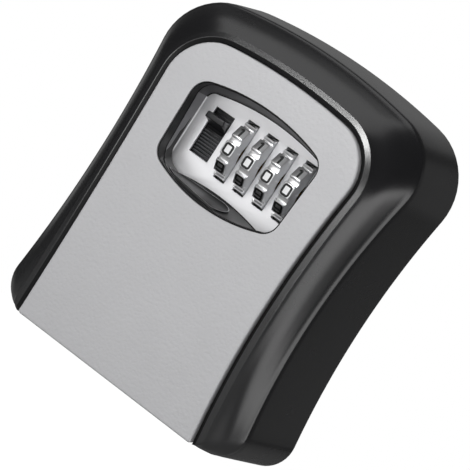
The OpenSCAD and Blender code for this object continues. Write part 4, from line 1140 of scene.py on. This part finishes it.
def screw(head, shank, finish_name):
    """Stock screw that points forward from the origin: turned, with a cross recess in its head."""
    form, cross = Form(), Form()
    form.turned(head + shank, (0, 0, 0), (0, -1, 0))
    r = widest(head)
    for x, z in CROSS_ARMS:
        cross.skin([[(px * r * size, -deep, pz * r * size)
                     for px, pz in ((-x, -z), (x, -z), (x, z), (-x, z))] for deep, size in CROSS_SECTION])
    return carve(form.piece("stock_screw", finish(finish_name)), cross.piece("cross"))


class KEYSAFE_OT_fasteners(Operator):
    """Screws with cross recesses and the keeper's round-headed rivets."""
    bl_idname = "keysafe.fasteners"
    bl_label = "Fasteners"

    def execute(self, context):
        stock = screw(SUNK_HEAD, in_mm((1.1, 8.6), (0.2, 10)), "steel")
        tray = copies("tray_screw_set", corner_points("tray_screws", SUNK_HEAD), stock, "steel")
        hand_over(tray, "base", "fastener", "tray_screws")
        shank_r, tip_r, head_h = 0.95 * MM, 0.2 * MM, 1.2 * MM
        for name, body in (("chassis_screws", "door"), ("rear_cover_screws", "door"),
                           ("latch_screw", "latch")):
            low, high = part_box(name)
            long = high.y - low.y
            stock = screw(PAN_HEAD, [(shank_r, head_h), (shank_r, long - MM), (tip_r, long)], "steel")
            spots = corner_points(name, PAN_HEAD)
            if name == "latch_screw":
                spots = [sum(spots, Vector()) / len(spots)]
            hand_over(copies(name + "_set", spots, stock, "steel"), body, "fastener", name)
        low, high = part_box("keeper_rivets")
        rivet, r = Form(), widest(RIVET_HEAD)
        rivet.turned(RIVET_HEAD + [(MM, high.z - low.z)], (0, 0, 0), (0, 0, 1))
        spots = [(x, (low.y + high.y) / 2, low.z) for x in (low.x + r, high.x - r)]
        rivets = copies("rivet_set", spots, rivet.piece("rivet", finish("steel")), "steel")
        hand_over(rivets, "base", "fastener", "keeper_rivets")
        return {"FINISHED"}


class KEYSAFE_OT_springs(Operator):
    """Coil under the slider, and the leaf under the dials."""
    bl_idname = "keysafe.springs"
    bl_label = "Springs"

    def execute(self, context):
        self.coil()
        self.leaf(context.scene.key_safe_lock)
        return {"FINISHED"}

    def coil(self):
        low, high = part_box("latch_spring")
        wire, turns, travel = 0.25 * MM, 7.0, 6 * MM
        middle, tall = (low + high) / 2, high.z - low.z
        coil = grow(Form().piece("latch_coil"), coil_tree(), Place=(middle.x, middle.y, low.z + wire),
                    Turns=turns, Radius=(high.x - low.x) / 2 - wire, Height=tall - 2 * wire, Wire=wire,
                    Finish=finish("spring"))
        hand_over(shaded(coil, degrees=60), "door", "spring", "latch_spring")
        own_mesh(coil)

    def leaf(self, lock):
        """One bent strip under each dial on a common foot; the noses stay clear of the turning dials."""
        low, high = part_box("detent_spring")
        thick, half, clear, foot_in = 0.4 * MM, 0.8 * MM, 0.55 * MM, 1.2 * MM
        peak = lock.axis_z - lock.dial_r - clear
        rear, nose, foot = -high.y, lock.axis_depth, low.z + thick / 2
        bend = rear + thick / 2
        line = [(nose, foot), (rear + MM, foot), (bend, foot), (bend, foot + MM), (bend, peak - 2 * MM),
                (rear + 0.4 * MM, peak - 0.7 * MM), (rear + 1.6 * MM, peak - 0.6 * MM),
                (nose - MM, peak - 0.7 * MM), (nose - 0.45 * MM, peak), (nose + 0.15 * MM, peak),
                (nose + 0.6 * MM, peak - 0.6 * MM)]
        pairs = stroked(eased([Vector(p) for p in line], 2), thick)
        section = [a for a, _ in pairs] + [b for _, b in reversed(pairs)]
        form = Form()
        for name in DIALS:
            a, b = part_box(name)
            x = (a.x + b.x) / 2
            form.skin([[(x + side, -p.x, p.y) for p in section] for side in (-half, half)])
        form.block(low.x, high.x, rear + foot_in, nose, low.z, low.z + thick)
        leaf = form.piece("detent_leaf", finish("spring"))
        hand_over(shaded(leaf, degrees=40), "door", "spring", "detent_spring")


class KEYSAFE_OT_works(Operator):
    """Finishes for the pieces inside, which keep their own shapes from model.glb."""
    bl_idname = "keysafe.works"
    bl_label = "Inner works"

    def execute(self, context):
        coats = {"inner_box": "tray", "hinge_pin": "steel", "keeper": "steel", "rear_cover": "tray",
                 "lock_chassis": "casting", "dial_axle": "steel", "axle_clip": "spring",
                 "reset_lever": "casting", "latch_plate": "steel"}
        coats.update({f"code_hub_{i}": "brass" for i in range(1, 5)})
        for name, coat in coats.items():
            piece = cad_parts[name]
            piece.data.materials.clear()
            piece.data.materials.append(finish(coat))
        return {"FINISHED"}


# Lamps: name, place and size in metres, power in watts; each points at the part's middle
LAMPS = (
    ("key", (-0.13, -0.88, 0.63), (0.46, 0.2), 6.6),
    ("overhead", (-0.33, -0.1, 1.0), (1.0, 1.0), 2.0),
    ("front_left", (-0.36, -0.98, -0.2), (0.95, 0.95), 3.3),
    ("front_right", (0.6, -0.9, 0.0), (0.5, 0.5), 2.2),
    ("rim", (0.25, -1.05, 0.1), (0.2, 0.25), 0.6),
    ("right", (1.13, -0.08, -0.06), (0.48, 0.55), 1.3),
    ("side", (0.69, 0.92, 0.2), (0.8, 0.8), 0.22),
    ("behind", (-0.42, 1.0, 0.2), (1.2, 1.0), 0.9),
)
FLOOR_HALF, FLOOR_Z = 0.6, -0.2
FLOOR_PAPER, FLOOR_SEEN, WHITE = linear("#b4b4b4"), linear("#f6f6f6"), linear("#ffffff")
ROOM_LIGHT = 0.05  # strength of the surroundings for all but camera rays
# Camera, fitted to the photograph's outline
CAMERA_ANGLES = (20.71, 7.24, 32.998)     # turn round the part, lift and roll, in degrees
CAMERA_AWAY = 0.7377                      # distance from the part's middle, in metres
CAMERA_LENS, CAMERA_SENSOR = 189.7, 36.0  # in millimetres
CAMERA_SHIFT = (-0.0365, -0.0211)         # in widths of the picture


class KEYSAFE_OT_stage(Operator):
    """Pale floor, white surroundings, soft lamps and the camera."""
    bl_idname = "keysafe.stage"
    bl_label = "Stage"

    def execute(self, context):
        scene = context.scene
        scene.view_settings.view_transform = "Standard"
        self.floor()
        self.world(scene)
        for name, place, size, watts in LAMPS:
            self.lamp(scene, name, place, size, watts)
        self.camera(scene)
        return {"FINISHED"}

    def floor(self):
        """Paper that looks near white to the camera and gives back less light than that."""
        form = Form()
        corners = ((-1, -1), (1, -1), (1, 1), (-1, 1))
        form.add([(x * FLOOR_HALF, y * FLOOR_HALF, FLOOR_Z) for x, y in corners], [[0, 1, 2, 3]])
        material = bpy.data.materials.new("floor_white_paper")
        tree = emptied(material)
        seen = node(tree, "ShaderNodeLightPath").outputs["Is Camera Ray"]
        paper = node(tree, "ShaderNodeBsdfDiffuse", {"Color": FLOOR_PAPER})
        glow = node(tree, "ShaderNodeEmission", {"Strength": seen, "Color": FLOOR_SEEN})
        both = node(tree, "ShaderNodeAddShader", {0: paper, 1: glow})
        node(tree, "ShaderNodeOutputMaterial", {"Surface": both})
        form.piece("floor", material)

    def world(self, scene):
        """White for the camera, a dim room for everything else."""
        scene.world = bpy.data.worlds.new("white_room")
        tree = emptied(scene.world)
        seen = node(tree, "ShaderNodeLightPath").outputs["Is Camera Ray"]
        room = node(tree, "ShaderNodeBackground", {"Color": WHITE, "Strength": ROOM_LIGHT})
        white = node(tree, "ShaderNodeBackground", {"Color": WHITE, "Strength": 1.0})
        mix = node(tree, "ShaderNodeMixShader", {0: seen, 1: room, 2: white})
        node(tree, "ShaderNodeOutputWorld", {"Surface": mix})

    def lamp(self, scene, name, place, size, watts):
        data = bpy.data.lights.new(name, "AREA")
        data.shape = "RECTANGLE"
        data.size, data.size_y = size
        data.energy = watts
        lamp = bpy.data.objects.new(name, data)
        lamp.location = place
        lamp.rotation_euler = (-Vector(place)).to_track_quat("-Z", "Y").to_euler()
        scene.collection.objects.link(lamp)

    def camera(self, scene):
        turn, lift, roll = (math.radians(angle) for angle in CAMERA_ANGLES)
        data = bpy.data.cameras.new("camera")
        data.lens, data.sensor_width = CAMERA_LENS, CAMERA_SENSOR
        data.shift_x, data.shift_y = CAMERA_SHIFT
        ahead = Vector((-math.sin(turn) * math.cos(lift), math.cos(turn) * math.cos(lift), -math.sin(lift)))
        right = Vector((math.cos(turn), math.sin(turn), 0))
        up = right.cross(ahead)
        across = math.cos(roll) * right + math.sin(roll) * up
        upright = math.cos(roll) * up - math.sin(roll) * right
        camera = bpy.data.objects.new("camera", data)
        camera.matrix_world = Matrix((across, upright, -ahead)).transposed().to_4x4()
        camera.location = -ahead * CAMERA_AWAY
        scene.collection.objects.link(camera)
        scene.camera = camera


PIECES = (KEYSAFE_OT_stage, KEYSAFE_OT_shell, KEYSAFE_OT_door, KEYSAFE_OT_liner, KEYSAFE_OT_lock_face,
          KEYSAFE_OT_dials, KEYSAFE_OT_slider, KEYSAFE_OT_fasteners, KEYSAFE_OT_springs,
          KEYSAFE_OT_works)


class KEYSAFE_PT_panel(Panel):
    """Lists the pieces of the key safe in the sidebar."""
    bl_idname = "KEYSAFE_PT_panel"
    bl_label = "Key Safe"
    bl_space_type = "VIEW_3D"
    bl_region_type = "UI"
    bl_category = "Key Safe"

    def draw(self, context):
        for piece in PIECES:
            self.layout.operator(piece.bl_idname)


GROUPS = (KeySafeBody, KeySafeLock, KeySafeFinish)


def register():
    for each in GROUPS + PIECES + (KEYSAFE_PT_panel,):
        bpy.utils.register_class(each)
    bpy.types.Scene.key_safe_body = PointerProperty(type=KeySafeBody)
    bpy.types.Scene.key_safe_lock = PointerProperty(type=KeySafeLock)
    bpy.types.Scene.key_safe_finish = PointerProperty(type=KeySafeFinish)


def unregister():
    del bpy.types.Scene.key_safe_body, bpy.types.Scene.key_safe_lock, bpy.types.Scene.key_safe_finish
    for each in reversed(GROUPS + PIECES + (KEYSAFE_PT_panel,)):
        bpy.utils.unregister_class(each)


def main():
    register()
    bpy.ops.keysafe.stage()
    bpy.ops.keysafe.shell()
    bpy.ops.keysafe.door()
    bpy.ops.keysafe.liner()
    bpy.ops.keysafe.lock_face()
    bpy.ops.keysafe.dials()
    bpy.ops.keysafe.slider()
    bpy.ops.keysafe.fasteners()
    bpy.ops.keysafe.springs()
    bpy.ops.keysafe.works()


if __name__ == "__main__":
    main()
